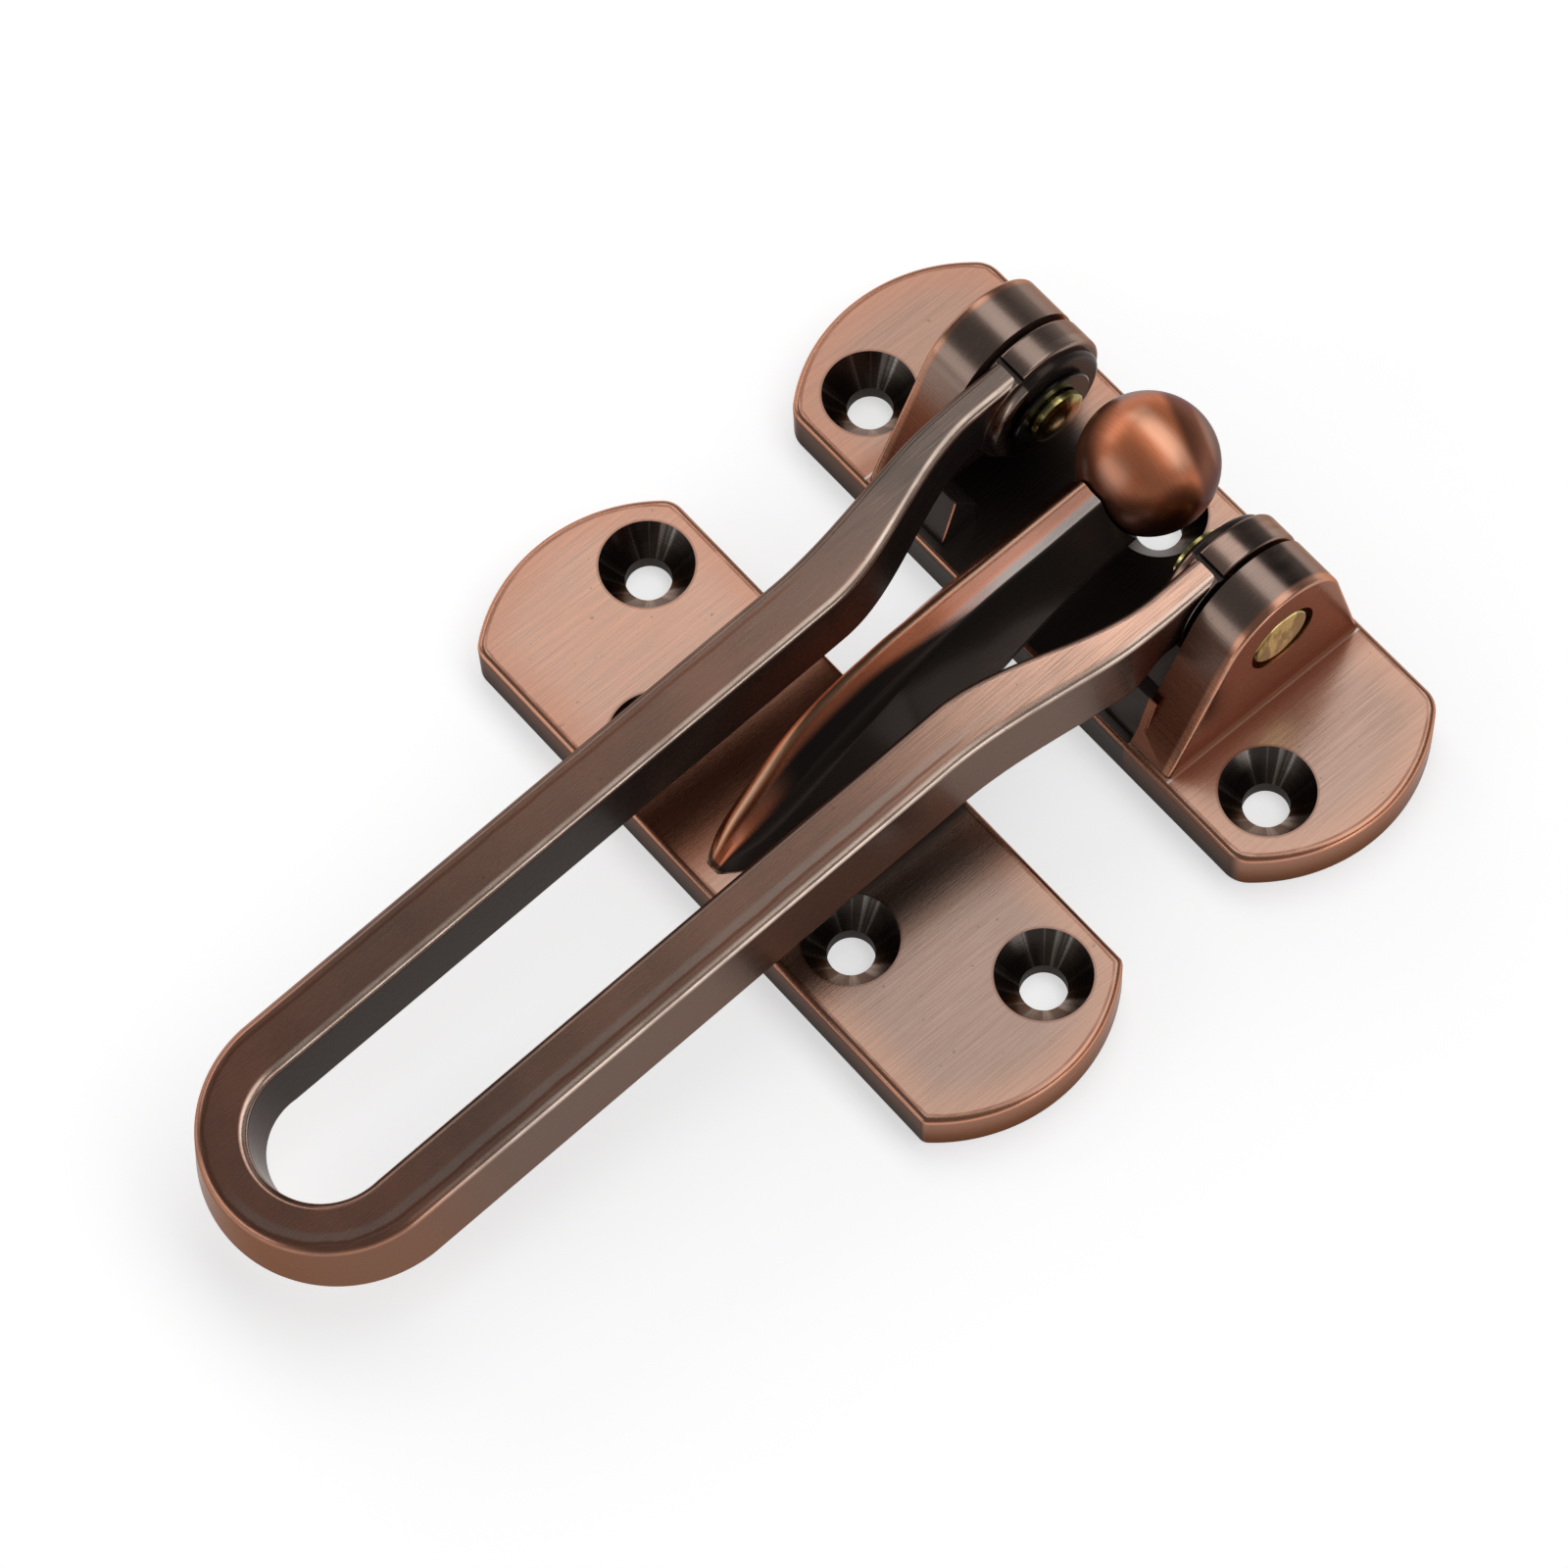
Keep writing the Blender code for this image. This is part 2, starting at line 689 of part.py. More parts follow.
def notch(side, word, cutters):
    """The groove across a leg's top, in front of its eye."""
    work = bmesh.new()
    bmesh.ops.create_cube(work, size=1)
    length = EYE_THICKNESS + 2 * EYE_GAP
    height = NOTCH_DEPTH + CUT_OVERRUN
    bmesh.ops.scale(work, vec=(length, NOTCH_WIDTH, height), verts=work.verts)
    made = mesh_from("notch " + word, work, cutters)
    middle_z = BAR_TOP - NOTCH_DEPTH + height / 2
    made.location = (side * (EYE_OUTER_X - EYE_THICKNESS / 2), -NOTCH_SETBACK, middle_z)
    return made


def swing_bar(pivot, parts, cutters):
    made = lofted("swing_bar", bar_sections(), parts)
    tools = []
    for side, word in SIDES:
        tools.append((eye(side, word, cutters), "UNION"))
        tools.append((eye_boss(side, word, cutters), "UNION"))
    for side, word in SIDES:
        low = BOSS_INNER_X - CUT_OVERRUN
        high = EYE_OUTER_X + CUT_OVERRUN
        bore = cylinder("eye bore " + word, PIN_RADIUS + FIT_GAP, low, high, cutters)
        bore.rotation_euler = (0, side * math.pi / 2, 0)
        tools.append((bore, "DIFFERENCE"))
        tools.append((notch(side, word, cutters), "DIFFERENCE"))
    for tool, operation in tools:
        boolean(made, tool, operation)
        tool.parent = pivot
    made.parent = pivot
    finish(made, COPPER, 0.36, 1.0)
    return made


def hinge_pin(side, word, parts):
    """A headed pin whose far end is riveted over in the ear's recess."""
    rim = PIN_EDGE_ROUND
    rivet_rim = arc((PIN_RIVET_RADIUS - rim, RIVET_OUTER_X - rim), rim, math.pi / 2, 0, ROUND_STEPS)
    dome_radius = (PIN_HEAD_RADIUS**2 + PIN_HEAD_DOME**2) / (2 * PIN_HEAD_DOME)
    half_angle = math.asin(PIN_HEAD_RADIUS / dome_radius)
    dome_centre = (0, PIN_HEAD_INNER_X + dome_radius)
    straight_down = -math.pi / 2
    head_dome = arc(dome_centre, dome_radius, straight_down + half_angle, straight_down, DOME_STEPS)
    profile = [(0, RIVET_OUTER_X)] + rivet_rim
    profile += [(PIN_RIVET_RADIUS, RIVET_INNER_X), (PIN_RADIUS, RIVET_INNER_X)]
    profile += [(PIN_RADIUS, PIN_HEAD_OUTER_X), (PIN_HEAD_RADIUS, PIN_HEAD_OUTER_X)]
    profile += head_dome[:-1] + [(0, PIN_HEAD_INNER_X)]
    made = turned("hinge_pin_" + word, profile, parts)
    aim_along_x(made, side)
    finish(made, BRASS, 0.28, 1.0)
    return made


def pin_washer(side, word, parts):
    bore = PIN_RADIUS + FIT_GAP
    profile = (
        (bore, WASHER_OUTER_X),
        (WASHER_RADIUS, WASHER_OUTER_X),
        (WASHER_RADIUS, WASHER_INNER_X),
        (bore, WASHER_INNER_X),
    )
    made = turned("pin_washer_" + word, profile, parts, closed=True)
    aim_along_x(made, side)
    finish(made, BLACK_STEEL, 0.22, 1.0)
    return made


def empty(name, location, tilt, collection):
    made = object_from(name, None, collection)
    made.location = location
    made.rotation_euler = (tilt, 0, 0)
    made.empty_display_size = EYE_RADIUS
    return made


def settle(parts):
    """Turns each piece into its finished mesh, round faces smooth and edges sharp."""
    bpy.context.view_layer.update()
    graph = bpy.context.evaluated_depsgraph_get()
    pieces = [made for made in parts.objects if made.type == "MESH"]
    meshes = [bpy.data.meshes.new_from_object(made.evaluated_get(graph)) for made in pieces]
    for made, mesh in zip(pieces, meshes):
        made.modifiers.clear()
        made.data = mesh
        mesh.name = made.name
        mesh.shade_smooth()
        mesh.set_sharp_from_angle(angle=SHARP_ANGLE)


def main():
    clear_scene()
    parts = new_collection("Swing bar door guard")
    cutters = new_collection("Cutters and joiners")
    hinge_plate(parts, cutters)
    pivot = empty("bar_pivot", (0, PIN_Y, PIN_HEIGHT), REST_TILT, parts)
    swing_bar(pivot, parts, cutters)
    for side, word in SIDES:
        hinge_pin(side, word, parts)
        pin_washer(side, word, parts)
    door_side = empty("door_side", (0, 0, 0), 0, parts)
    for made in (door_plate(parts, cutters), ball(parts, cutters), ball_stud(parts)):
        made.parent = door_side
    settle(parts)


main()
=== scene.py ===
"""A swing bar door guard in brushed antique copper with brass hinge pins.

It lies on a pale floor in soft studio light. Lengths are in metres.
"""

import math

import bmesh
import bpy
from mathutils import Matrix, Vector


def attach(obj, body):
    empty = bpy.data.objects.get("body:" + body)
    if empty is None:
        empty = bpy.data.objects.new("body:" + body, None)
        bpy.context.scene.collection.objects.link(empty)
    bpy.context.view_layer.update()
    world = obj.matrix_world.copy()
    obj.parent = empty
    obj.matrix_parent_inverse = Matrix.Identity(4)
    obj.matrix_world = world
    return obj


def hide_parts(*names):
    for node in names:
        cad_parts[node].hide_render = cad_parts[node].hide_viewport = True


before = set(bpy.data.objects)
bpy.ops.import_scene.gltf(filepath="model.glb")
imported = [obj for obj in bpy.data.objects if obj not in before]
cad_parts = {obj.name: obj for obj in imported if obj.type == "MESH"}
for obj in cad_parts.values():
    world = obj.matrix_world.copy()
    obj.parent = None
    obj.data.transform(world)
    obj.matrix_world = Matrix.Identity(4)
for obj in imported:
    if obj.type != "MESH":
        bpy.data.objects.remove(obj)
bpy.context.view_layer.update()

# Both plates
PLATE_LENGTH = 0.080
PLATE_THICKNESS = 0.0052
PLATE_END_RADIUS = 0.0189
PLATE_EDGE_ROUND = 0.0007
SCREW_BORE = 0.0049
SCREW_HEAD = 0.0100
SCREW_HEAD_DEPTH = 0.0034

# Hinge plate and its ears
HINGE_PLATE_WIDTH = 0.0275
HINGE_PLATE_CORNERS = (0.0032, 0.0032)
HINGE_PLATE_Y = -0.0076
HINGE_HOLES = ((-0.0305, 0.0), (0.0305, 0.0), (0.0, 0.0130))
EAR_OUTER_X = 0.0230
EAR_INNER_X = 0.0173
EAR_RADIUS = 0.0079
EAR_RIM_ROUND = 0.0012
EAR_FRONT_Y = -0.0067
EAR_REAR_Y = 0.01935
EAR_ROOT_DEPTH = 0.0009
EAR_ROOT_LEAN = 0.02
GUSSET_INNER_X = 0.0120
GUSSET_HEIGHT = 0.0070
GUSSET_FRONT_Y = EAR_FRONT_Y + 0.0002
GUSSET_BACK_Y = -0.0013
GUSSET_LEAN = 0.32
GUSSET_EDGE_ROUND = 0.00025

# Pins and washers, each pair of numbers a start and an end along the pin axis
PIN_Y = 0.0082
PIN_HEIGHT = 0.01745
PIN_RADIUS = 0.0025
PIN_BORE = 0.0028
PIN_HEAD_RADIUS = 0.0032
PIN_HEAD = (0.0097, 0.0110)
PIN_HEAD_DOME = 0.0006
PIN_RIVET_RADIUS = 0.0035
PIN_RIVET = (0.02185, 0.02285)
PIN_RIVET_ROUND = 0.0003
RIVET_RECESS_RADIUS = 0.0041
RIVET_RECESS_X = 0.0216
WASHER = (0.01125, 0.01175)
WASHER_RADIUS = 0.0050
WASHER_BEVEL = 0.00012

# Swing bar, in a frame whose X axis is the pin axis
REST_TILT = math.radians(5.0)
EYE = (0.0130, 0.0167)
EYE_RADIUS = 0.0079
EYE_BOSS_RADIUS = 0.0070
EYE_BOSS_X = 0.0120
EYE_EDGE_ROUND = 0.0005
BAR_TOP = 0.0077
BAR_HEIGHT = 0.0074
SLOT_HALF = 0.0076
BAR_HALF = 0.01345
LOOP_CENTRE = 0.1036
LOOP_THINNING = 0.0005
INNER_DRAFT = 0.0010
OUTER_DRAFT = 0.0014
BAR_TOP_ROUND = 0.0011
BAR_UNDER_ROUND = 0.0005
SPREAD_START = 0.0080
INNER_SPREAD = 0.0240
OUTER_SPREAD = 0.0270
DRAFT_FADE_START = 0.0095
DRAFT_FADE = 0.0060
LEG_INSET = 0.00015
INNER_REACH = EYE[0] + LEG_INSET - SLOT_HALF
OUTER_REACH = EYE[1] - LEG_INSET - BAR_HALF
NOTCH_Y = -0.0021
NOTCH_WIDTH = 0.0007
NOTCH_DEPTH = 0.0006
NOTCH_TOOL = (0.0052, 0.003)
LEG_START_Y = -0.0006
LEG_STEP = 0.0077

# Door plate, arm and ball
DOOR_PLATE_WIDTH = 0.0265
DOOR_PLATE_CORNERS = (0.0026, 0.0012)
DOOR_PLATE_Y = -0.0497
DOOR_HOLES = ((-0.0306, -0.0302), (0.0306, -0.0302), (-0.0150, -0.0421), (0.0150, -0.0421))
BALL_RADIUS = 0.0074
BALL_PLACE = (0.0, 0.0110, 0.0186)
BALL_SEAT_GAP = 0.0003
STUD_PLACE = (0.0, 0.00435, 0.0181)
STUD_BORE = 0.00155
STUD_REACH = 0.00555
ARM_TIP_Y = -0.0479
ARM_FREE_Y = -0.0232
ARM_END_Y = 0.006116
ARM_TOP = 0.0213
ARM_RIDGE_HALF = 0.0022
ARM_RIDGE_ROUND = 0.0028
ARM_FOOT_HALF = 0.0068
ARM_SIDE_HEIGHT = 0.0008
ARM_UNDER_TOP = 0.0156
ARM_SHOULDER = 0.0017
ARM_SHOULDER_ROUND = 0.0021

# The arm's ridge height, ridge width, left shoulder, foot width and underside along its length
ARM_RIDGE = (
    (0.00, -0.03), (0.05, 0.14), (0.115, 0.30), (0.246, 0.583), (0.383, 0.745),
    (0.554, 0.85), (0.674, 0.894), (0.831, 0.935), (1.00, 1.00),
)
ARM_RIDGE_WIDTH = (
    (0.00, 0.10), (0.05, 0.45), (0.10, 0.80), (0.20, 1.00), (0.32, 0.90), (0.46, 0.66),
    (0.60, 0.46), (0.85, 0.40), (1.00, 0.46),
)
ARM_FULLNESS = ((0.00, 0.00), (0.12, 0.10), (0.30, 0.60), (0.50, 1.00), (0.75, 0.95), (1.00, 0.60))
ARM_FOOT = (
    (0.00, 0.10), (0.07, 0.43), (0.19, 0.735), (0.315, 0.94), (0.46, 1.00),
    (0.57, 0.86), (0.69, 0.75), (0.83, 0.69), (1.00, 0.66),
)
ARM_UNDER = (
    (0.00, 0.00), (0.11, 0.29), (0.31, 0.64), (0.47, 0.77), (0.69, 0.93), (0.85, 0.99), (1.00, 1.00),
)

# How finely the curves are cut
ROUND_SEGMENTS = 6
RIM_SEGMENTS = 8
EYE_SEGMENTS = 4
GUSSET_SEGMENTS = 3
PLATE_END_STEPS = 160
BARREL_STEPS = 120
TURNED_STEPS = 96
HOLE_STEPS = 80
BORE_STEPS = 72
STUD_STEPS = 48
BALL_STEPS = (128, 64)
SEAT_STEPS = (96, 48)
ARM_STEPS = 110
SPREAD_STEPS = 40
LEG_STEPS = 8
LOOP_STEPS = 72

SPARE = 0.002  # how far a cutting tool stands out of what it cuts
SUNK = 0.001  # how deep an added form reaches into what it joins
WELD = 0.000004
SHARP = math.radians(34)
FLAT = math.radians(0.6)
HALF_TURN = math.pi
QUARTER_TURN = math.pi / 2
LEFT_AND_RIGHT = (-1, 1)
BAR_PLACE = Matrix.Translation((0, PIN_Y, PIN_HEIGHT)) @ Matrix.Rotation(REST_TILT, 4, "X")


# Shader maths

# Outputs of the texture coordinate node
FACING = 1
PLACE = 3


class Value:
    """A shader value. Sums on it add their Math nodes."""

    def __init__(self, paint, link):
        self.paint = paint
        self.link = link

    def __add__(self, other):
        return self.paint.maths("ADD", self, other)

    __radd__ = __add__

    def __sub__(self, other):
        return self.paint.maths("SUBTRACT", self, other)

    def __rsub__(self, other):
        return self.paint.maths("SUBTRACT", other, self)

    def __mul__(self, other):
        return self.paint.maths("MULTIPLY", self, other)

    __rmul__ = __mul__


class Paint:
    """A material being mixed."""

    def __init__(self, name):
        self.material = bpy.data.materials.new(name)
        self.material.use_nodes = True
        self.tree = self.material.node_tree
        self.tree.nodes.clear()

    def node(self, kind, settings=None, inputs=None, out=0):
        made = self.tree.nodes.new("ShaderNode" + kind)
        for key, value in (settings or {}).items():
            setattr(made, key, value)
        for key, value in (inputs or {}).items():
            if isinstance(value, Value):
                self.tree.links.new(value.link, made.inputs[key])
            else:
                made.inputs[key].default_value = value
        return Value(self, made.outputs[out])

    def maths(self, operation, first, second=0.0):
        return self.node("Math", {"operation": operation}, {0: first, 1: second})

    def step(self, value, low, high):
        """0 below low, 1 above high, smooth between. Low may be above high."""
        settings = {"interpolation_type": "SMOOTHSTEP"}
        if low < high:
            return self.node("MapRange", settings, {0: value, 1: low, 2: high, 3: 0.0, 4: 1.0})
        return self.node("MapRange", settings, {0: value, 1: high, 2: low, 3: 1.0, 4: 0.0})

    def mix(self, share, first, second):
        """Blends two colours, each a triple or a value."""
        inputs = {0: share}
        for place, colour in ((6, first), (7, second)):
            inputs[place] = colour if isinstance(colour, Value) else (*colour, 1.0)
        return self.node("Mix", {"data_type": "RGBA"}, inputs, out=2)

    def place(self, which=PLACE, move=(0, 0, 0), turn=(0, 0, 0)):
        """The place on the object, or the way its surface faces, in a moved and turned frame."""
        source = self.node("TexCoord", out=which)
        inputs = {"Vector": source, "Location": move, "Rotation": turn}
        return self.node("Mapping", {"vector_type": "TEXTURE"}, inputs)

    def parts(self, vector):
        split = self.tree.nodes.new("ShaderNodeSeparateXYZ")
        self.tree.links.new(vector.link, split.inputs[0])
        return [Value(self, out) for out in split.outputs]

    def noise(self, vector, scale, detail=2.0, rough=0.5, stretch=(1, 1, 1)):
        stretched = self.node("Mapping", {}, {"Vector": vector, "Scale": stretch})
        inputs = {"Vector": stretched, "Scale": scale, "Detail": detail, "Roughness": rough}
        return self.node("TexNoise", {}, inputs)

    def bump(self, height, distance, strength=1.0, normal=None):
        inputs = {"Height": height, "Distance": distance, "Strength": strength}
        if normal is not None:
            inputs["Normal"] = normal
        return self.node("Bump", {}, inputs)

    def finish(self, inputs):
        shader = self.node("BsdfPrincipled", {}, inputs)
        output = self.tree.nodes.new("ShaderNodeOutputMaterial")
        self.tree.links.new(shader.link, output.inputs["Surface"])
        return self.material


# Finishes

# Brushed plate tops, and the tints near their edges
COPPER = (0.37, 0.248, 0.195)
COPPER_DEEP = (0.26, 0.162, 0.122)
COPPER_WARM = (0.51, 0.280, 0.194)
COPPER_LEFT = (0.36, 0.205, 0.145)
COPPER_RIGHT = (0.33, 0.222, 0.176)
WARM = (0.50, 0.27, 0.18)
WARM_DEEP = (0.44, 0.19, 0.115)
RED_SHADE = (0.30, 0.110, 0.058)

# Worn edges with painted sheen, painted highlight lines, dark lines and painted shade, oxide and painted
# shade for black places, and countersinks with painted reflections
WORN_EDGE_SHEEN = (0.64, 0.28, 0.165)
EDGE_HIGHLIGHT = (0.74, 0.58, 0.48)
PALE_SHEEN = (0.48, 0.43, 0.39)
DARK_LINE_AND_SHADE = (0.20, 0.070, 0.035)
PAINTED_DARK_BAND = (0.050, 0.034, 0.028)
OXIDE_AND_SHADE = (0.030, 0.023, 0.020)
CONE_SHEEN = (0.50, 0.46, 0.42)
CONE_DARK = (0.080, 0.063, 0.054)
BORE_DARK = (0.055, 0.046, 0.040)

# Sides, the long ones painted near black and darker towards the bottom and the ends lighter, as painted
# shade and reflection; and ears
SIDE_SHADE = (0.034, 0.024, 0.020)
SIDE_WARM = (0.115, 0.052, 0.033)
END_SIDE = (0.34, 0.188, 0.140)
EAR_SIDE = (0.31, 0.178, 0.145)
EAR_FRONT = (0.22, 0.085, 0.050)
EAR_TOP = (0.25, 0.172, 0.140)

# Swing bar, with a painted lit patch near the right eye and painted shade near the left one
BAR_BROWN = (0.325, 0.176, 0.124)
BAR_DEEP = (0.19, 0.125, 0.10)
BAR_FAR_SHADE = (0.088, 0.066, 0.052)
BAR_SHADE = (0.085, 0.052, 0.040)
BAR_SIDE = (0.155, 0.112, 0.094)
LOOP_BROWN = (0.41, 0.185, 0.122)
LOOP_SIDE = (0.20, 0.106, 0.074)
EYE_LEG_LIT = (0.80, 0.47, 0.34)

# Arm, with a painted crest highlight, glint and neck sheen, and painted shade low on the left and on the
# right flank
CREST_HIGHLIGHT = (0.90, 0.42, 0.23)
GLINT = (0.98, 0.68, 0.48)
ARM_COPPER = (0.70, 0.200, 0.090)
ARM_NECK_SHEEN = (0.33, 0.28, 0.255)
ARM_LOW_SHADE = (0.16, 0.062, 0.036)
ARM_SHADE = (0.020, 0.011, 0.008)

# Ball, with a painted highlight, painted shade below, a painted dark ring and reflection at the right,
# and the directions that are rightward in the main view and towards the arm's neck
BALL_COPPER = (0.75, 0.200, 0.072)
BALL_HIGHLIGHT = (0.97, 0.51, 0.33)
BALL_RING_SHADE = (0.12, 0.045, 0.028)
BALL_EDGE_REFLECTION = (0.29, 0.25, 0.22)
BALL_UNDER_SHADE = (0.085, 0.032, 0.020)
BALL_NECK_HIGHLIGHT = (0.50, 0.34, 0.27)
RIGHTWARD = (0.355, 0.927, 0.128)
NECKWARD = (0.06, -0.72, 0.69)

# Brass and steel
BRASS_DEEP = (0.22, 0.165, 0.035)
BRASS_BRIGHT = (0.88, 0.78, 0.34)
BRASS_AMBER = (0.42, 0.20, 0.055)
BLACK_STEEL = ((0.02, 0.02, 0.02), (0.05, 0.045, 0.04))
PLAIN_STEEL = ((0.35, 0.35, 0.36), (0.5, 0.5, 0.51))

# Reflection of the copper's and the ball's lacquer
COPPER_TINT = (0.62, 0.42, 0.34, 1.0)
BALL_TINT = (0.45, 0.26, 0.19, 1.0)
FINE_RELIEF = 0.00002

# Floor
FLOOR_TONES = ((0.86, 0.86, 0.86), (0.88, 0.88, 0.88))
FLOOR_GLOW = 0.56
WHITE = (1.0, 1.0, 1.0, 1.0)


def absolute(value):
    return value.paint.maths("ABSOLUTE", value)


def largest(first, *others):
    for other in others:
        first = first.paint.maths("MAXIMUM", first, other)
    return first


def smallest(first, *others):
    for other in others:
        first = first.paint.maths("MINIMUM", first, other)
    return first


def length_of(first, second):
    return first.paint.maths("SQRT", first * first + second * second)


def band(paint, value, low, high, soft):
    """1 between low and high, with soft edges."""
    return paint.step(value, low - soft, low) * paint.step(value, high + soft, high)


def share_along(direction, normal):
    """How far a normal points along a direction."""
    first, second, third = (part * share for part, share in zip(normal, direction))
    return first + second + third


def wear(paint, blotches):
    """Where worn edges are brightest."""
    return paint.step(blotches, 0.30, 0.60)


def antique_copper(name, coats, move=(0, 0, 0), turn=(0, 0, 0)):
    """Copper plate, brushed and then darkened, under clear lacquer.

    The coats function gives the brushed colour, the deeper colour between the strokes, a list of (mask,
    colour) layers over them, several of them painted highlights and painted shade, and masks for black
    places, which are oxide and painted shade, and for dull ones.
    """
    paint = Paint(name)
    where = paint.place(move=move, turn=turn)
    facing = paint.place(FACING, turn=turn)
    upward = paint.step(paint.parts(facing)[2], 0.55, 0.85)
    top_lines = paint.noise(where, 1.0, 4.0, 0.65, (6500, 130, 1800))
    side_lines = paint.noise(where, 1.0, 3.0, 0.6, (120, 120, 5200))
    lines = top_lines * upward + side_lines * (1.0 - upward)
    strokes = paint.step(paint.noise(where, 1.0, 2.0, 0.5, (3400, 170, 2600)), 0.60, 0.72) * upward
    clouds = paint.noise(where, 90.0, 3.0, 0.55)
    blotches = paint.noise(where, 420.0, 3.0, 0.6, (1.0, 0.35, 1.0))
    light, deep, layers, dark, dull = coats(paint, where, facing, blotches)
    body = paint.mix(paint.step(lines + (clouds - 0.5) * 0.5, 0.10, 0.72), deep, light)
    body = paint.mix(strokes * 0.22, body, COPPER)
    for mask, colour in layers:
        body = paint.mix(mask, body, colour)
    specks = paint.step(paint.noise(where, 1500.0, 1.0), 0.76, 0.80)
    # Black places: oxide in the hollows and painted shade between and under parts
    black = paint.step(dark + (blotches - 0.5) * 0.25 * dark, 0.15, 0.85)
    colour = paint.mix(specks * 0.35, paint.mix(black, body, OXIDE_AND_SHADE), OXIDE_AND_SHADE)
    rough = 0.27 + (0.5 - lines) * 0.14 + (clouds - 0.5) * 0.08 + dull * 0.42
    bare = (1.0 - black * 0.75) * (1.0 - dull * 0.85)
    coat = (0.15 + upward * 0.45) * bare
    lines_bump = paint.bump(lines, FINE_RELIEF, 0.35)
    pits = paint.noise(where, 2600.0, 2.0)
    normal = paint.bump(pits, FINE_RELIEF, 0.08, lines_bump)
    return paint.finish({
        "Base Color": colour, "Metallic": bare, "Roughness": rough, "Normal": normal,
        "Coat Weight": coat, "Coat Roughness": 0.12,
        "Specular Tint": COPPER_TINT, "Specular IOR Level": 0.22,
    })


def plate_coats(paint, where, facing, near_y, width, corners, holes, blotches):
    """The layers that both plates share: a rubbed rim with painted sheen, warm ends, side faces painted
    by facing, countersinks with painted streaks of reflection.

    The inset is a place's distance from the plate's outline, corners included.
    """
    x, y, z = paint.parts(where)
    nx, _, nz = paint.parts(facing)
    across = absolute(y - (near_y + width / 2))
    past_end = paint.maths("MAXIMUM", absolute(x) - (PLATE_LENGTH / 2 - PLATE_END_RADIUS), 0.0)
    inset = smallest(PLATE_END_RADIUS - length_of(past_end, across), width / 2 - across)
    to_end = math.sqrt(PLATE_END_RADIUS**2 - width**2 / 4)
    turn = math.acos(width / 2 / PLATE_END_RADIUS)
    corner_x = PLATE_LENGTH / 2 - PLATE_END_RADIUS + to_end
    to_corner = length_of(absolute(x) - corner_x, across - width / 2)
    corner = corners[0] + (corners[1] - corners[0]) * paint.step(x, -0.001, 0.001)
    inset = inset - corner * paint.step(to_corner, 0.0026, 0.0004) * (1 / math.cos(turn / 2) - 1)
    on_plate = paint.step(z, PLATE_THICKNESS + 0.0002, PLATE_THICKNESS + 0.0001)
    top = on_plate * paint.step(nz, 0.90, 0.98)
    side = on_plate * paint.step(nz, 0.6, 0.3) * paint.step(inset, 0.0012, 0.0008)
    end = paint.step(absolute(nx), 0.15, 0.55)
    tilted = paint.step(nz, 0.20, 0.50) * paint.step(nz, 0.998, 0.97)
    rim = on_plate * tilted * paint.step(inset, 0.0009, 0.0007)
    # A dark line along the inner edge of the rounded rim
    groove = top * band(paint, inset, 0.00070, 0.00085, 0.00012)
    tint = top * paint.step(inset, 0.0052, 0.0006)
    reach = None
    for hole_x, hole_y in holes:
        to_hole = length_of(x - hole_x, y - hole_y)
        reach = to_hole if reach is None else smallest(reach, to_hole)
    head = SCREW_HEAD / 2
    bowl = on_plate * paint.step(reach, head + 0.00010, head - 0.00004)
    bowl_rim = top * band(paint, reach, head + 0.00004, head + 0.00020, 0.00008)
    bore = bowl * paint.step(nz, 0.25, 0.15)
    # Painted streaks of reflection in the countersinks
    cone_reflections = paint.step(paint.noise(facing, 3.1, 3.0, 0.6, (1.0, 1.0, 0.05)), 0.50, 0.66)
    # Painted shade on faces that point down
    below = on_plate * paint.step(nz, -0.3, -0.7)
    worn = wear(paint, blotches)
    height = paint.step(z, 0.0, PLATE_THICKNESS)
    # Side faces painted by facing: long sides near black and darker towards the bottom, ends lighter, as
    # painted shade and reflection
    long_side = paint.mix(height, SIDE_SHADE, SIDE_WARM)
    layers = [
        (tint * 0.50, paint.mix(paint.step(x, 0.012, -0.025), WARM, WARM_DEEP)),
        (side, paint.mix(end, long_side, paint.mix(height, SIDE_WARM, END_SIDE))),
        (groove * (0.35 + worn * 0.45), DARK_LINE_AND_SHADE),
        # Rims: worn edges with a painted sheen, stronger on the ends
        (rim * (0.40 + end * 0.35 + worn * 0.25), WORN_EDGE_SHEEN),
        (bowl_rim * 0.5, DARK_LINE_AND_SHADE),
        (bowl, paint.mix(cone_reflections, CONE_DARK, CONE_SHEEN)),
        (bore, BORE_DARK),
        (below, OXIDE_AND_SHADE),
    ]
    shaded = largest(below, bore, side * (1.0 - end) * (0.95 - height * 0.30))
    return layers, top, bowl, rim, shaded


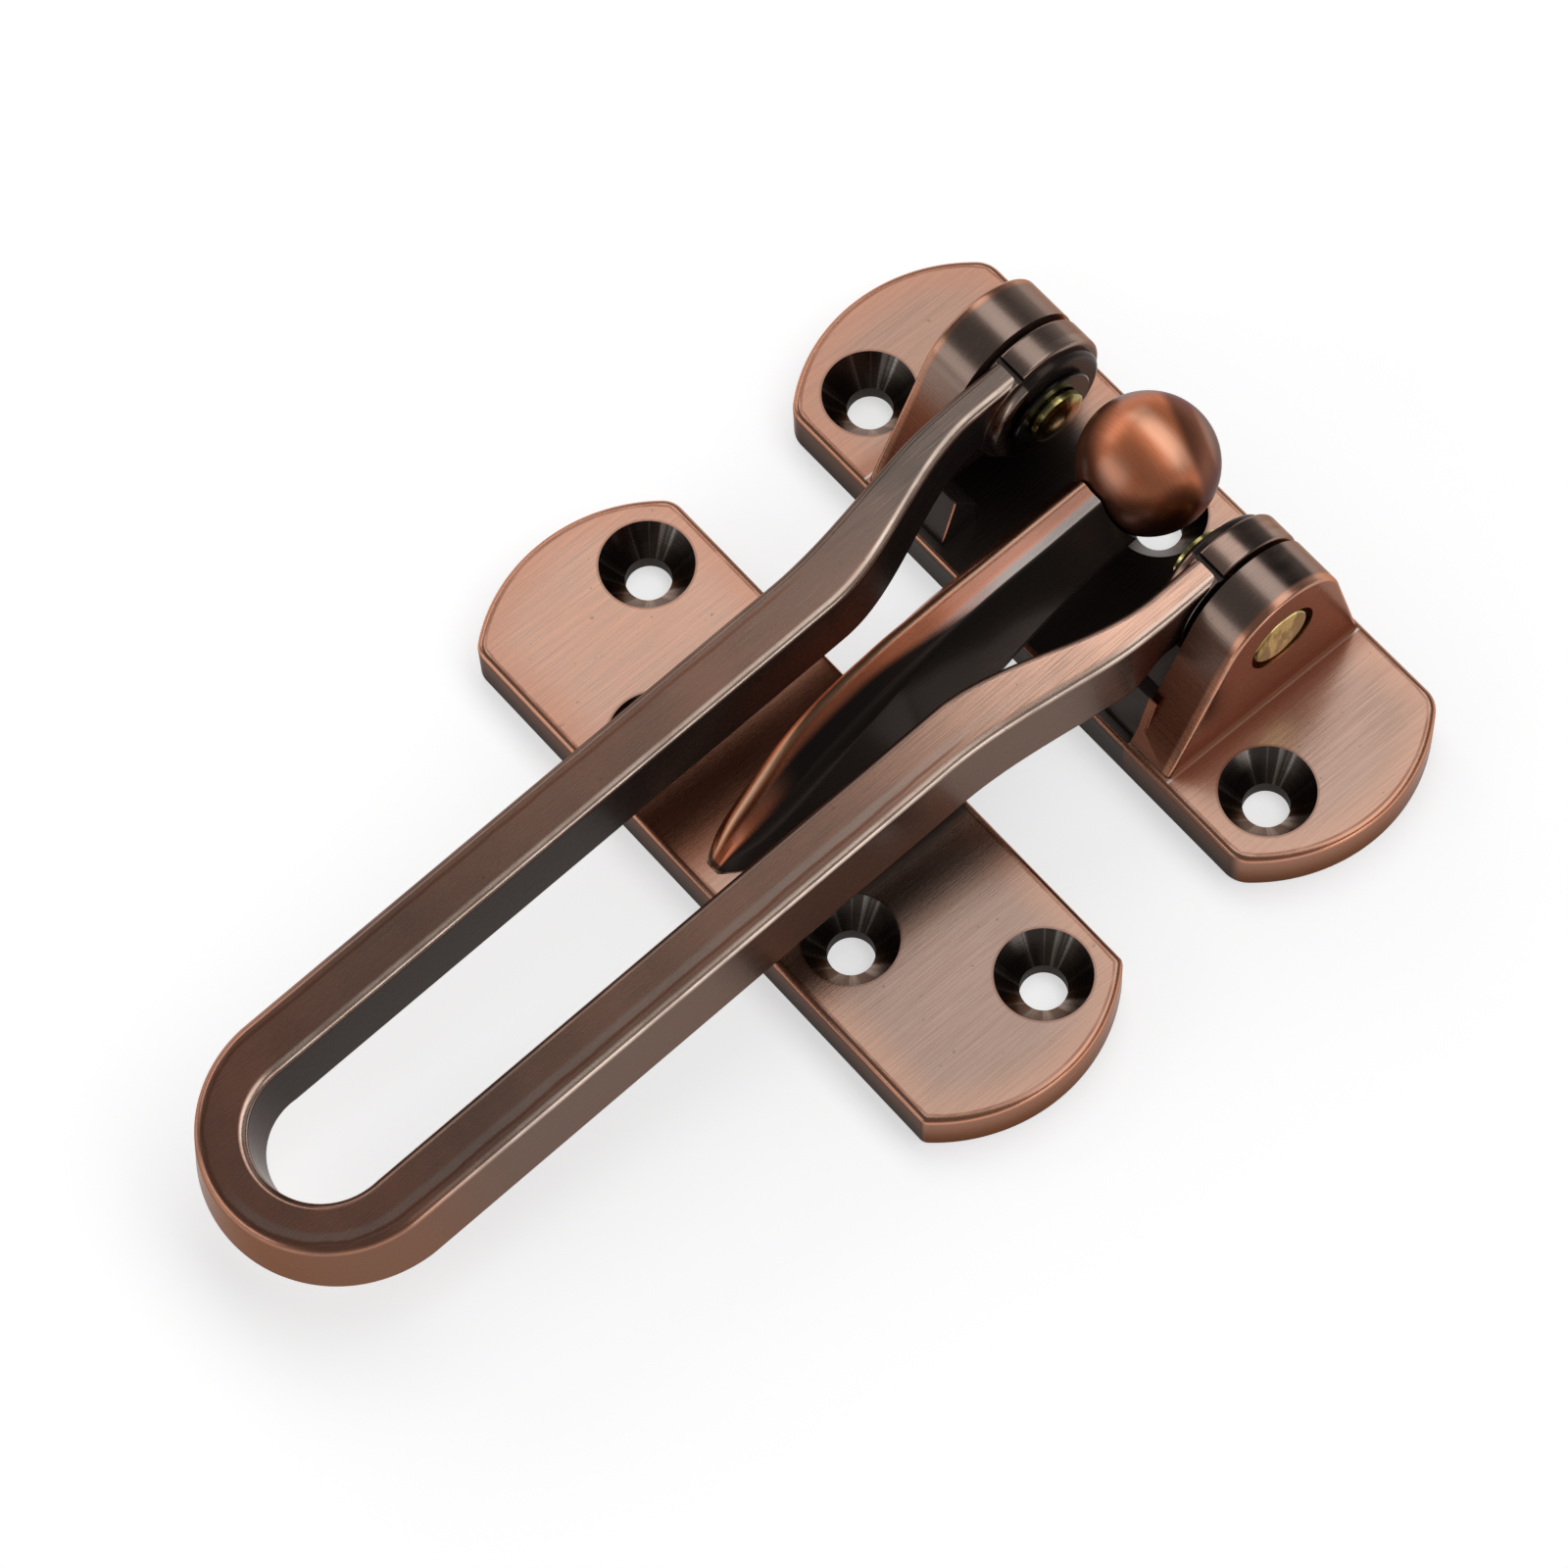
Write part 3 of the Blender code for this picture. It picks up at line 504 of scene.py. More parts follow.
def hinge_plate_coats(paint, where, facing, blotches):
    """The hinge plate's coats: ears by their faces, painted shade and lines, and near black between the
    ears, oxide with painted shade.
    """
    x, y, z = paint.parts(where)
    nx, ny, _ = paint.parts(facing)
    layers, top, bowl, on_rim, shaded = plate_coats(
        paint, where, facing, HINGE_PLATE_Y, HINGE_PLATE_WIDTH, HINGE_PLATE_CORNERS,
        HINGE_HOLES, blotches,
    )
    outward = absolute(x)
    above = paint.step(z, PLATE_THICKNESS + 0.0001, PLATE_THICKNESS + 0.0003)
    sideways = paint.step(absolute(nx), 0.90, 0.98)
    outer_face = above * sideways * paint.step(outward, EAR_OUTER_X - 0.0003, EAR_OUTER_X - 0.0001)
    rounded = paint.step(outward, EAR_OUTER_X - EAR_RIM_ROUND, EAR_OUTER_X - 0.0007)
    rim = above * (1.0 - sideways) * rounded
    flank = above * (1.0 - sideways) * (1.0 - rounded)
    barrel = flank * paint.step(z, PIN_HEIGHT - 0.002, PIN_HEIGHT + 0.003)
    # A painted dark band of reflection across the barrels' tops, kept to the right ear
    dark_band = barrel * band(paint, y - PIN_Y, 0.0018, 0.0043, 0.0009)
    # The ears' outer faces painted darker towards the plate: painted shade
    foot = outer_face * paint.step(z, PLATE_THICKNESS + 0.0040, PLATE_THICKNESS)
    # A painted highlight line where the ears meet the plate
    seam_highlight = top * band(paint, outward, EAR_OUTER_X + 0.00010, EAR_OUTER_X + 0.00026, 0.00008)
    # Painted shade on the plate beside the ears' outer faces
    beside_shade = top * band(paint, outward, EAR_OUTER_X - 0.0010, EAR_OUTER_X + 0.0008, 0.0022)
    inside = paint.step(outward, EAR_INNER_X + 0.0002, EAR_INNER_X - 0.0002)
    gusset_edge = above * inside * band(paint, absolute(nx), 0.25, 0.85, 0.08)
    gusset_edge = gusset_edge * paint.step(ny, 0.0, -0.4)
    # Worn edges with painted sheen on the rim, fainter on the left, and on the gussets' front edges
    sheen = largest(rim * paint.step(x, -0.060, 0.010), gusset_edge)
    kept = largest(bowl * 0.2, gusset_edge, on_rim * 0.9)
    # Near black between the ears under the eyes: oxide with painted shade; the rim, gusset edges and
    # countersink keep their colour
    between = inside * paint.step(y, 0.0180, 0.0100) * (1.0 - kept)
    worn = wear(paint, blotches)
    layers += [
        (beside_shade * 0.55, DARK_LINE_AND_SHADE),
        (flank, EAR_FRONT),
        (barrel, EAR_TOP),
        (dark_band * (0.65 + worn * 0.3) * paint.step(x, -0.012, 0.004), PAINTED_DARK_BAND),
        (outer_face, EAR_SIDE),
        (foot * 0.45, DARK_LINE_AND_SHADE),
        (sheen * (0.30 + worn * 0.55), WORN_EDGE_SHEEN),
        (seam_highlight * 0.75, PALE_SHEEN),
    ]
    light = paint.mix(0.35, COPPER, COPPER_WARM)
    light = paint.mix(paint.step(x, 0.010, -0.022), light, COPPER_LEFT)
    light = paint.mix(paint.step(x, 0.024, 0.036) * 0.7, light, COPPER)
    return light, COPPER_DEEP, layers, between, shaded


def door_plate_coats(paint, where, facing, blotches):
    """The door plate's coats: a painted orange highlight along the arm's crest, painted shade to its
    right and under the bar.
    """
    x, y, z = paint.parts(where)
    nx, _, nz = paint.parts(facing)
    layers, top, _, _, shaded = plate_coats(
        paint, where, facing, DOOR_PLATE_Y, DOOR_PLATE_WIDTH, DOOR_PLATE_CORNERS,
        DOOR_HOLES, blotches,
    )
    above = paint.step(z, PLATE_THICKNESS + 0.00005, PLATE_THICKNESS + 0.0002)
    neck = paint.step(y, -0.027, -0.007)
    low_left = paint.step(z, 0.0130, 0.0080) * paint.step(nx, -0.45, -0.75)
    # A painted orange highlight on the crest's left rounding with a painted glint in it; a painted pale
    # sheen on the neck's right half, its left half darker
    crest_highlight = band(paint, nx, -0.66, -0.30, 0.14) * paint.step(blotches, 0.10, 0.50)
    arm = paint.mix(crest_highlight, paint.mix(low_left, ARM_COPPER, ARM_LOW_SHADE), CREST_HIGHLIGHT)
    glint = band(paint, nx, -0.46, -0.36, 0.07) * (1.0 - neck)
    glint = glint * (0.55 + (blotches - 0.5) * 0.8)
    arm = paint.mix(glint, arm, GLINT)
    neck_sheen = neck * paint.step(x, -0.0006, 0.0002)
    arm = paint.mix(neck_sheen, arm, ARM_NECK_SHEEN)
    arm = paint.mix(neck * paint.step(x, 0.0001, -0.0007) * 0.7, arm, COPPER_DEEP)
    # Painted shade on the arm's right flank
    to_right = paint.step(x - neck * 0.0024, -0.0015, -0.0003)
    to_right = largest(paint.step(nx, 0.36, 0.60), to_right)
    on_crest = paint.step(nx, -0.05, -0.30) * (1.0 - neck)
    from_arm = absolute(x) - ARM_FOOT_HALF * paint.step(y, ARM_TIP_Y, ARM_TIP_Y + 0.016)
    past_tip = paint.step(y, -0.047, -0.036)
    lee_shade = top * paint.step(from_arm, 0.0040, 0.0002) * past_tip
    left_of_arm = top * band(paint, x, -0.0090, -0.0020, 0.0040)
    middle = top * band(paint, x, -0.0035, SLOT_HALF + 0.003, 0.004) * past_tip
    middle = middle * (1.0 - left_of_arm * 0.7)
    foot = above * paint.step(z, PLATE_THICKNESS + 0.0009, PLATE_THICKNESS + 0.0005)
    foot = foot * paint.step(y, -0.0225, -0.0235)
    under_arm = above * paint.step(nz, -0.1, -0.4)
    right_side = above * to_right
    layers += [
        (left_of_arm * 0.85, RED_SHADE),
        (above, arm),
        (right_side * (0.35 + paint.step(y, -0.046, -0.036) * 0.65), ARM_SHADE),
    ]
    right_side = right_side * paint.step(nx, 0.20, 0.50)
    # Painted shade, near black: beside the arm past its tip, under the bar, along the arm's foot, on its
    # right flank and under it
    dark = largest(lee_shade * 0.30, middle * 0.85, foot * 0.7, right_side, under_arm)
    shaded = largest(shaded, above * on_crest * 0.15)
    # The top painted lighter and warmer towards the left end: painted light
    leftward = paint.step(x, 0.012, -0.030)
    light = paint.mix(leftward, COPPER_RIGHT, COPPER_WARM)
    return light, paint.mix(leftward, COPPER_DEEP, COPPER), layers, dark, shaded


def bar_coats(paint, where, facing, blotches):
    """The bar's coats, by the distance from the edges of its slot and of its outline, with painted
    highlights and painted shade on its edges and near its eyes.
    """
    x, y, z = paint.parts(where)
    _, _, nz = paint.parts(facing)
    outward = absolute(x)
    reach = length_of(outward, paint.maths("MINIMUM", y + LOOP_CENTRE, 0.0))
    inner = SLOT_HALF + INNER_REACH * paint.step(y, -SPREAD_START - INNER_SPREAD, -SPREAD_START)
    outer = BAR_HALF + OUTER_REACH * paint.step(y, -SPREAD_START - OUTER_SPREAD, -SPREAD_START)
    from_inner = reach - inner
    from_outer = outer - reach
    top = paint.step(nz, 0.55, 0.85)
    loop = paint.step(y, -LOOP_CENTRE + 0.014, -LOOP_CENTRE - 0.004)
    near_eye = paint.step(y, -0.048, -0.014)
    tone = paint.mix(loop, BAR_BROWN, LOOP_BROWN)
    # Painted light near the eyes: lighter near the right eye, painted shade near the left one
    tone = paint.mix(near_eye * paint.step(x, -0.004, 0.012), tone, EYE_LEG_LIT)
    tone = paint.mix(near_eye * paint.step(x, -0.004, -0.012), tone, BAR_FAR_SHADE)
    side = (1.0 - top) * paint.step(from_outer, 0.0022, 0.0012)
    side_tone = paint.mix(loop, BAR_SIDE, LOOP_SIDE)
    light = paint.mix(side, tone, side_tone)
    deep = paint.mix(side, paint.mix(near_eye * 0.7, BAR_DEEP, COPPER_DEEP), side_tone)
    worn = wear(paint, blotches)
    rounding = paint.step(nz, 0.25, 0.55) * paint.step(nz, 0.995, 0.93)
    inner_edge = rounding * paint.step(from_inner, 0.0013, 0.0009)
    outer_edge = rounding * paint.step(from_outer, 0.0013, 0.0009)
    score = top * band(paint, from_outer + (blotches - 0.5) * 0.0006, 0.00120, 0.00140, 0.00015)
    score = score * paint.step(y, -0.030, -0.036)
    on_right = paint.step(x, -0.003, 0.003)
    # A painted pale gleam along the right leg's top
    gleam = top * band(paint, from_outer + (blotches - 0.5) * 0.0003, 0.0017, 0.0021, 0.0005)
    gleam = gleam * (1.0 - near_eye)
    eye = paint.step(y, NOTCH_Y - 0.0003, NOTCH_Y + 0.0003)
    notch = band(paint, y, NOTCH_Y - NOTCH_WIDTH / 2, NOTCH_Y + NOTCH_WIDTH / 2, 0.00006)
    notch = notch * band(paint, z, BAR_TOP - NOTCH_DEPTH - 0.0001, BAR_TOP - 0.00012, 0.00004)
    wall = (1.0 - top) * paint.step(from_inner, 0.0022, 0.0012) * paint.step(nz, 0.5, 0.2)
    wall = wall * paint.step(y, -0.004, -0.009)
    inside_eye = eye * paint.step(outward, EYE[0] + 0.0001, EYE[0] - 0.0001)
    # A painted dark band of reflection across the right eye's top
    dark_band = eye * top * band(paint, y, 0.0022, 0.0046, 0.0009) * paint.step(x, -0.012, 0.004)
    below = paint.step(nz, -0.3, -0.7)
    # Edge colours by side: painted highlights on the right leg's edges, painted shade on the left leg's,
    # worn edge sheen round the loop
    outer_tone = paint.mix(loop, paint.mix(on_right, BAR_SHADE, EDGE_HIGHLIGHT), WORN_EDGE_SHEEN)
    layers = [
        (gleam * on_right * 0.30, PALE_SHEEN),
        (inner_edge * (0.45 + worn * 0.35), paint.mix(on_right, EDGE_HIGHLIGHT, BAR_SHADE)),
        (outer_edge * (0.35 + worn * 0.35) * (1.0 - loop * 0.4), outer_tone),
        (score * 0.65, DARK_LINE_AND_SHADE),
        (eye * 0.8, EAR_TOP),
        (dark_band * (0.5 + worn * 0.3), PAINTED_DARK_BAND),
    ]
    # Black places: oxide on the slot's walls and in the notch, painted shade on the eyes' inner faces and
    # the undersides
    return light, deep, layers, largest(wall, notch, inside_eye, below * 0.55), below * 0.5


def ball_copper():
    """Satin copper, with turned lines round the stud's axis, a painted highlight, painted shade below and
    a painted dark ring and reflection at the right.
    """
    paint = Paint("turned copper")
    where = paint.place(move=BALL_PLACE)
    lines = paint.noise(where, 1.0, 3.0, 0.6, (420, 7000, 420))
    clouds = paint.noise(where, 160.0, 2.0)
    normal = paint.parts(paint.place(FACING))
    nx, ny, nz = normal
    # A painted highlight where the surface faces the overhead lamp's band
    sheen = band(paint, ny, 0.00, 0.14, 0.16) * band(paint, nx, -0.28, 0.58, 0.20)
    sheen = sheen * paint.step(nz, 0.2, 0.7)
    share = paint.step(lines, 0.3, 0.7) * 0.16 + sheen * 0.60 + clouds * 0.24
    rightward = share_along(RIGHTWARD, normal)
    # A painted dark ring and grazing reflection at the right, painted shade below and a painted highlight
    # towards the neck
    layers = [
        (band(paint, rightward, 0.58, 0.76, 0.16) * 0.85, BALL_RING_SHADE),
        (paint.step(rightward, 0.76, 0.90) * 0.9, BALL_EDGE_REFLECTION),
        (paint.step(nz + nx * 0.22, 0.80, 0.36) * 0.92, BALL_UNDER_SHADE),
        (paint.step(share_along(NECKWARD, normal), 0.94, 0.99) * 0.35, BALL_NECK_HIGHLIGHT),
    ]
    colour = paint.mix(share, BALL_COPPER, BALL_HIGHLIGHT)
    for mask, tone in layers:
        colour = paint.mix(mask, colour, tone)
    leftward = paint.step(nx, -0.20, -0.70)
    return paint.finish({
        "Base Color": colour, "Metallic": 0.94 - leftward * 0.60,
        "Roughness": 0.41 + (0.5 - lines) * 0.10,
        "Normal": paint.bump(lines, FINE_RELIEF, 0.12),
        "Coat Weight": 0.35, "Coat Roughness": 0.25, "Specular Tint": BALL_TINT,
    })


def brass():
    """Polished brass, amber within the rim of the inner heads."""
    paint = Paint("brass")
    where = paint.place()
    x, y, z = paint.parts(where)
    reach = length_of(y - PIN_Y, z - PIN_HEIGHT)
    on_head = paint.step(absolute(x), PIN_HEAD[1] + 0.0005, PIN_HEAD[1])
    dish = on_head * paint.step(reach, PIN_HEAD_RADIUS - 0.0005, PIN_HEAD_RADIUS - 0.0009)
    clouds = paint.noise(where, 700.0, 3.0)
    wiped = paint.step(paint.noise(where, 1.0, 2.0, 0.5, (60, 900, 260)), 0.44, 0.58)
    colour = paint.mix(wiped * 0.65 + clouds * 0.35, BRASS_DEEP, BRASS_BRIGHT)
    colour = paint.mix(dish * 0.85, colour, BRASS_AMBER)
    return paint.finish({
        "Base Color": colour, "Metallic": 1.0, "Roughness": 0.16 + clouds * 0.10,
        "Normal": paint.bump(wiped + clouds, 0.00003, 0.25),
    })


def steel(name, tones, scale, metallic, rough, rough_spread):
    """Cloudy steel between two tones."""
    paint = Paint(name)
    clouds = paint.noise(paint.place(), scale, 2.0)
    return paint.finish({
        "Base Color": paint.mix(clouds, *tones), "Metallic": metallic,
        "Roughness": rough + clouds * rough_spread,
    })


def pale_floor_paint():
    """A translucent white table, lit a little from below."""
    paint = Paint("pale floor")
    clouds = paint.noise(paint.place(), 6.0, 2.0)
    return paint.finish({
        "Base Color": paint.mix(clouds, *FLOOR_TONES), "Roughness": 0.7,
        "Emission Color": WHITE, "Emission Strength": FLOOR_GLOW,
    })


# Shapes


def arc(centre, radius, start, end, steps):
    angles = [start + (end - start) * step / steps for step in range(steps + 1)]
    return [(centre[0] + radius * math.cos(a), centre[1] + radius * math.sin(a)) for a in angles]


def rounded_corners(corners, radii, steps):
    """A closed counter-clockwise ring with each corner rounded by its own radius."""
    points = []
    for index, (place, radius) in enumerate(zip(corners, radii)):
        corner = Vector(place)
        arriving = (corner - Vector(corners[index - 1])).normalized()
        leaving = (Vector(corners[(index + 1) % len(corners)]) - corner).normalized()
        turn = arriving.angle_signed(leaving) * -1
        centre = corner - arriving * radius * math.tan(turn / 2)
        centre += Vector((-arriving.y, arriving.x)) * radius
        start = math.atan2(-arriving.x, arriving.y)
        points += arc(centre, radius, start, start + turn, steps)
    return points


def value_at(shares, position):
    """A smooth value at a position, on a curve through pairs of (position, value)."""
    last = len(shares) - 1
    slopes = []
    for index in range(last + 1):
        low = shares[max(index - 1, 0)]
        high = shares[min(index + 1, last)]
        slopes.append((high[1] - low[1]) / (high[0] - low[0]))
    index = 0
    while index < last - 1 and position > shares[index + 1][0]:
        index += 1
    start, value = shares[index]
    end, following = shares[index + 1]
    t = min(max((position - start) / (end - start), 0.0), 1.0)
    bend = slopes[index] * t * (1 - t) ** 2 - slopes[index + 1] * t * t * (1 - t)
    return value + (following - value) * t * t * (3 - 2 * t) + bend * (end - start)


def eased(position, start, length):
    """0 at start + length before the pin axis and 1 at start before it, smooth between."""
    share = min(max((position + start + length) / length, 0.0), 1.0)
    return share * share * (3 - 2 * share)


def round_over(work, edges, width, segments=ROUND_SEGMENTS):
    bmesh.ops.bevel(
        work, geom=edges, offset=width, offset_type="OFFSET", segments=segments,
        profile=0.5, affect="EDGES", material=-1, clamp_overlap=True,
    )


def sharp_edges(work, chosen):
    """The edges between unlike faces whose middles pass a test."""
    found = []
    for edge in work.edges:
        if len(edge.link_faces) == 2 and edge.calc_face_angle() > SHARP:
            if chosen((edge.verts[0].co + edge.verts[1].co) / 2):
                found.append(edge)
    return found


def hull(work):
    """Leaves only the hull of a bmesh's points, its flat faces whole."""
    bmesh.ops.delete(work, geom=work.edges[:] + work.faces[:], context="EDGES_FACES")
    bmesh.ops.convex_hull(work, input=work.verts[:])
    loose = [v for v in work.verts if not v.link_faces]
    bmesh.ops.delete(work, geom=loose, context="VERTS")
    bmesh.ops.dissolve_limit(work, angle_limit=FLAT, verts=work.verts[:], edges=work.edges[:])
    bmesh.ops.recalc_face_normals(work, faces=work.faces[:])


def disc(work, radius, low, high, place, segments=TURNED_STEPS):
    """A short cylinder from low to high along Z of its own frame."""
    bmesh.ops.create_cone(
        work, cap_ends=True, segments=segments, radius1=radius, radius2=radius, depth=high - low,
        matrix=place @ Matrix.Translation((0, 0, (low + high) / 2)),
    )


def turned(profile, place, steps=TURNED_STEPS, closed=False):
    """A profile of (radius, height) turned round Z, then placed."""
    work = bmesh.new()
    points = [work.verts.new((radius, 0, height)) for radius, height in profile]
    edges = [work.edges.new(pair) for pair in zip(points, points[1:])]
    if closed:
        edges.append(work.edges.new((points[-1], points[0])))
    bmesh.ops.spin(
        work, geom=points + edges, cent=(0, 0, 0), axis=(0, 0, 1), angle=2 * HALF_TURN, steps=steps,
        use_merge=True,
    )
    bmesh.ops.remove_doubles(work, verts=work.verts[:], dist=WELD)
    bmesh.ops.recalc_face_normals(work, faces=work.faces[:])
    bmesh.ops.transform(work, matrix=place, verts=work.verts[:])
    return work


def lofted(rings):
    """A skin bridged through rings of points, closed at both ends."""
    work = bmesh.new()
    loops = []
    for ring in rings:
        points = [work.verts.new(point) for point in ring]
        loops.append([work.edges.new((points[i - 1], points[i])) for i in range(len(points))])
    for first, second in zip(loops, loops[1:]):
        bmesh.ops.bridge_loops(work, edges=first + second)
    for loop in (loops[0], loops[-1]):
        bmesh.ops.contextual_create(work, geom=loop)
    bmesh.ops.recalc_face_normals(work, faces=work.faces[:])
    return work


def temporary(work):
    """A scratch object with a bmesh's shape. The bmesh is used up."""
    mesh = bpy.data.meshes.new("blank")
    work.to_mesh(mesh)
    work.free()
    made = bpy.data.objects.new("blank", mesh)
    bpy.context.scene.collection.objects.link(made)
    return made


def combined(work, tools):
    """A bmesh after each (tool, operation) has been joined to it or cut from it."""
    target = temporary(work)
    used = [target]
    for tool, operation in tools:
        helper = temporary(tool)
        used.append(helper)
        modifier = target.modifiers.new("combine", "BOOLEAN")
        modifier.operation = operation
        modifier.solver = "EXACT"
        modifier.object = helper
    bpy.context.view_layer.update()
    mesh = bpy.data.meshes.new_from_object(target.evaluated_get(bpy.context.evaluated_depsgraph_get()))
    result = bmesh.new()
    result.from_mesh(mesh)
    for helper in used:
        bpy.data.objects.remove(helper, do_unlink=True)
    bpy.data.meshes.remove(mesh)
    bmesh.ops.remove_doubles(result, verts=result.verts[:], dist=WELD)
    return result


def along_x(side):
    """Lays Z along the pin axis, to the left or the right."""
    return Matrix.Translation((0, PIN_Y, PIN_HEIGHT)) @ Matrix.Rotation(side * QUARTER_TURN, 4, "Y")


def finished(name, work, material, body, slot, *nodes):
    """The finished piece, shaded smooth and riding on its body in place of its nodes."""
    mesh = bpy.data.meshes.new(name)
    work.to_mesh(mesh)
    work.free()
    mesh.materials.append(material)
    mesh.shade_smooth()
    mesh.set_sharp_from_angle(angle=SHARP)
    made = bpy.data.objects.new(name, mesh)
    bpy.context.scene.collection.objects.link(made)
    weighted = made.modifiers.new("Even shading", "WEIGHTED_NORMAL")
    weighted.keep_sharp = True
    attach(made, body)
    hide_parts(*nodes)


# Plates


def plate(width, corners, near_y):
    """A strip with arc ends and rounded corners, its top edge rounded over."""
    work = bmesh.new()
    end = PLATE_LENGTH / 2 - PLATE_END_RADIUS
    middle = near_y + width / 2
    for side, corner in zip(LEFT_AND_RIGHT, corners):
        aside = width / 2 - corner
        along = math.sqrt((PLATE_END_RADIUS - corner) ** 2 - aside**2)
        touch = PLATE_END_RADIUS * aside / (PLATE_END_RADIUS - corner)
        cap = bmesh.new()
        place = Matrix.Translation((side * end, middle, 0))
        disc(cap, PLATE_END_RADIUS, 0, PLATE_THICKNESS, place, PLATE_END_STEPS)
        for outward in (-1, 1):
            bmesh.ops.bisect_plane(
                cap, geom=cap.verts[:] + cap.edges[:] + cap.faces[:],
                plane_co=(0, middle + outward * touch, 0), plane_no=(0, outward, 0), clear_outer=True,
            )
        for outward in (-1, 1):
            place = Matrix.Translation((side * (end + along), middle + outward * aside, 0))
            disc(cap, corner, 0, PLATE_THICKNESS, place)
        for vert in cap.verts:
            work.verts.new(vert.co)
        cap.free()
    hull(work)
    round_over(work, sharp_edges(work, lambda m: m.z > 0.9 * PLATE_THICKNESS), PLATE_EDGE_ROUND)
    return work


def screw_hole(x, y):
    """The tool that cuts a countersunk hole."""
    bore = SCREW_BORE / 2
    head = SCREW_HEAD / 2
    flare = (head - bore) / SCREW_HEAD_DEPTH
    top = PLATE_THICKNESS + SPARE
    profile = (
        (0, top),
        (head + SPARE * flare, top),
        (bore, PLATE_THICKNESS - SCREW_HEAD_DEPTH),
        (bore, -SPARE),
        (0, -SPARE),
    )
    return turned(profile, Matrix.Translation((x, y, 0)), HOLE_STEPS)


def ear(side):
    """The hull of a barrel and its two feet, its outer rim rounded."""
    work = bmesh.new()
    disc(work, EAR_RADIUS, EAR_INNER_X, EAR_OUTER_X, along_x(side), BARREL_STEPS)
    for y in (EAR_FRONT_Y, EAR_REAR_Y):
        for x in (EAR_INNER_X, EAR_OUTER_X):
            foot = Vector((side * x, y, PLATE_THICKNESS))
            work.verts.new(foot)
            work.verts.new(foot + Vector((0, (PIN_Y - y) * EAR_ROOT_LEAN, -EAR_ROOT_DEPTH)))
    hull(work)
    bend = (EAR_INNER_X + EAR_OUTER_X) / 2
    rim = sharp_edges(work, lambda m: side * m.x > bend and m.z > PLATE_THICKNESS + 0.0001)
    round_over(work, rim, EAR_RIM_ROUND, RIM_SEGMENTS)
    return work


def gusset(side):
    """The web inside an ear, its front leaning back."""
    work = bmesh.new()
    low, high = PLATE_THICKNESS - SUNK, PLATE_THICKNESS + GUSSET_HEIGHT
    outline = (
        (GUSSET_FRONT_Y, low),
        (GUSSET_BACK_Y, low),
        (GUSSET_BACK_Y, (low + high) / 2),
        (GUSSET_FRONT_Y + GUSSET_HEIGHT * GUSSET_LEAN, high),
    )
    for x in (GUSSET_INNER_X, EAR_INNER_X + SUNK):
        for y, z in outline:
            work.verts.new((side * x, y, z))
    hull(work)
    upper = sharp_edges(work, lambda m: m.z > PLATE_THICKNESS + 0.0005)
    round_over(work, upper, GUSSET_EDGE_ROUND, GUSSET_SEGMENTS)
    return work


def pin_seat(side):
    """The tool that cuts a pin's bore and its rivet's recess."""
    profile = (
        (0, EAR_OUTER_X + SPARE),
        (RIVET_RECESS_RADIUS, EAR_OUTER_X + SPARE),
        (RIVET_RECESS_RADIUS, RIVET_RECESS_X),
        (PIN_BORE, RIVET_RECESS_X),
        (PIN_BORE, EAR_INNER_X - SPARE),
        (0, EAR_INNER_X - SPARE),
    )
    return turned(profile, along_x(side), BORE_STEPS)


def hinge_plate(material):
    blank = plate(HINGE_PLATE_WIDTH, HINGE_PLATE_CORNERS, HINGE_PLATE_Y)
    tools = [(make(side), "UNION") for side in LEFT_AND_RIGHT for make in (ear, gusset)]
    tools += [(pin_seat(side), "DIFFERENCE") for side in LEFT_AND_RIGHT]
    tools += [(screw_hole(x, y), "DIFFERENCE") for x, y in HINGE_HOLES]
    work = combined(blank, tools)
    finished("frame_side_plate", work, material, "hinge_side", "hinge_plate", "hinge_plate")


def arm_ring(along):
    """The arm's outline at a share of its length: a roof, its ridge rounded and fuller on the left."""
    y = ARM_TIP_Y + (ARM_END_Y - ARM_TIP_Y) * along
    ridge_z = PLATE_THICKNESS + (ARM_TOP - PLATE_THICKNESS) * value_at(ARM_RIDGE, along)
    ridge_share = value_at(ARM_RIDGE_WIDTH, along)
    ridge_half = ARM_RIDGE_HALF * ridge_share
    fullness = value_at(ARM_FULLNESS, along)
    left_half = ridge_half + ARM_SHOULDER * fullness
    foot_half = ARM_FOOT_HALF * value_at(ARM_FOOT, along)
    free = (y - ARM_FREE_Y) / (ARM_END_Y - ARM_FREE_Y)
    if free > 0:
        rise = (ARM_UNDER_TOP - PLATE_THICKNESS) * value_at(ARM_UNDER, free)
    else:
        rise = max(y - ARM_FREE_Y, -SUNK)
    under = PLATE_THICKNESS + rise
    foot_z = max(PLATE_THICKNESS, under + ARM_SIDE_HEIGHT)
    ridge_z = max(ridge_z, under + ARM_SIDE_HEIGHT)
    if y <= ARM_FREE_Y - SUNK:
        foot_z = min(foot_z, ridge_z)
    corners = (
        (-foot_half, under),
        (foot_half, under),
        (foot_half, foot_z),
        (ridge_half, ridge_z),
        (-left_half, ridge_z),
        (-foot_half, foot_z),
    )
    edge = ARM_SIDE_HEIGHT / 4
    crown = ARM_RIDGE_ROUND * ridge_share
    shoulder = crown + (ARM_SHOULDER_ROUND - crown) * fullness
    radii = (edge, edge, edge, crown, shoulder, edge)
    return [(x, y, z) for x, z in rounded_corners(corners, radii, ROUND_SEGMENTS)]


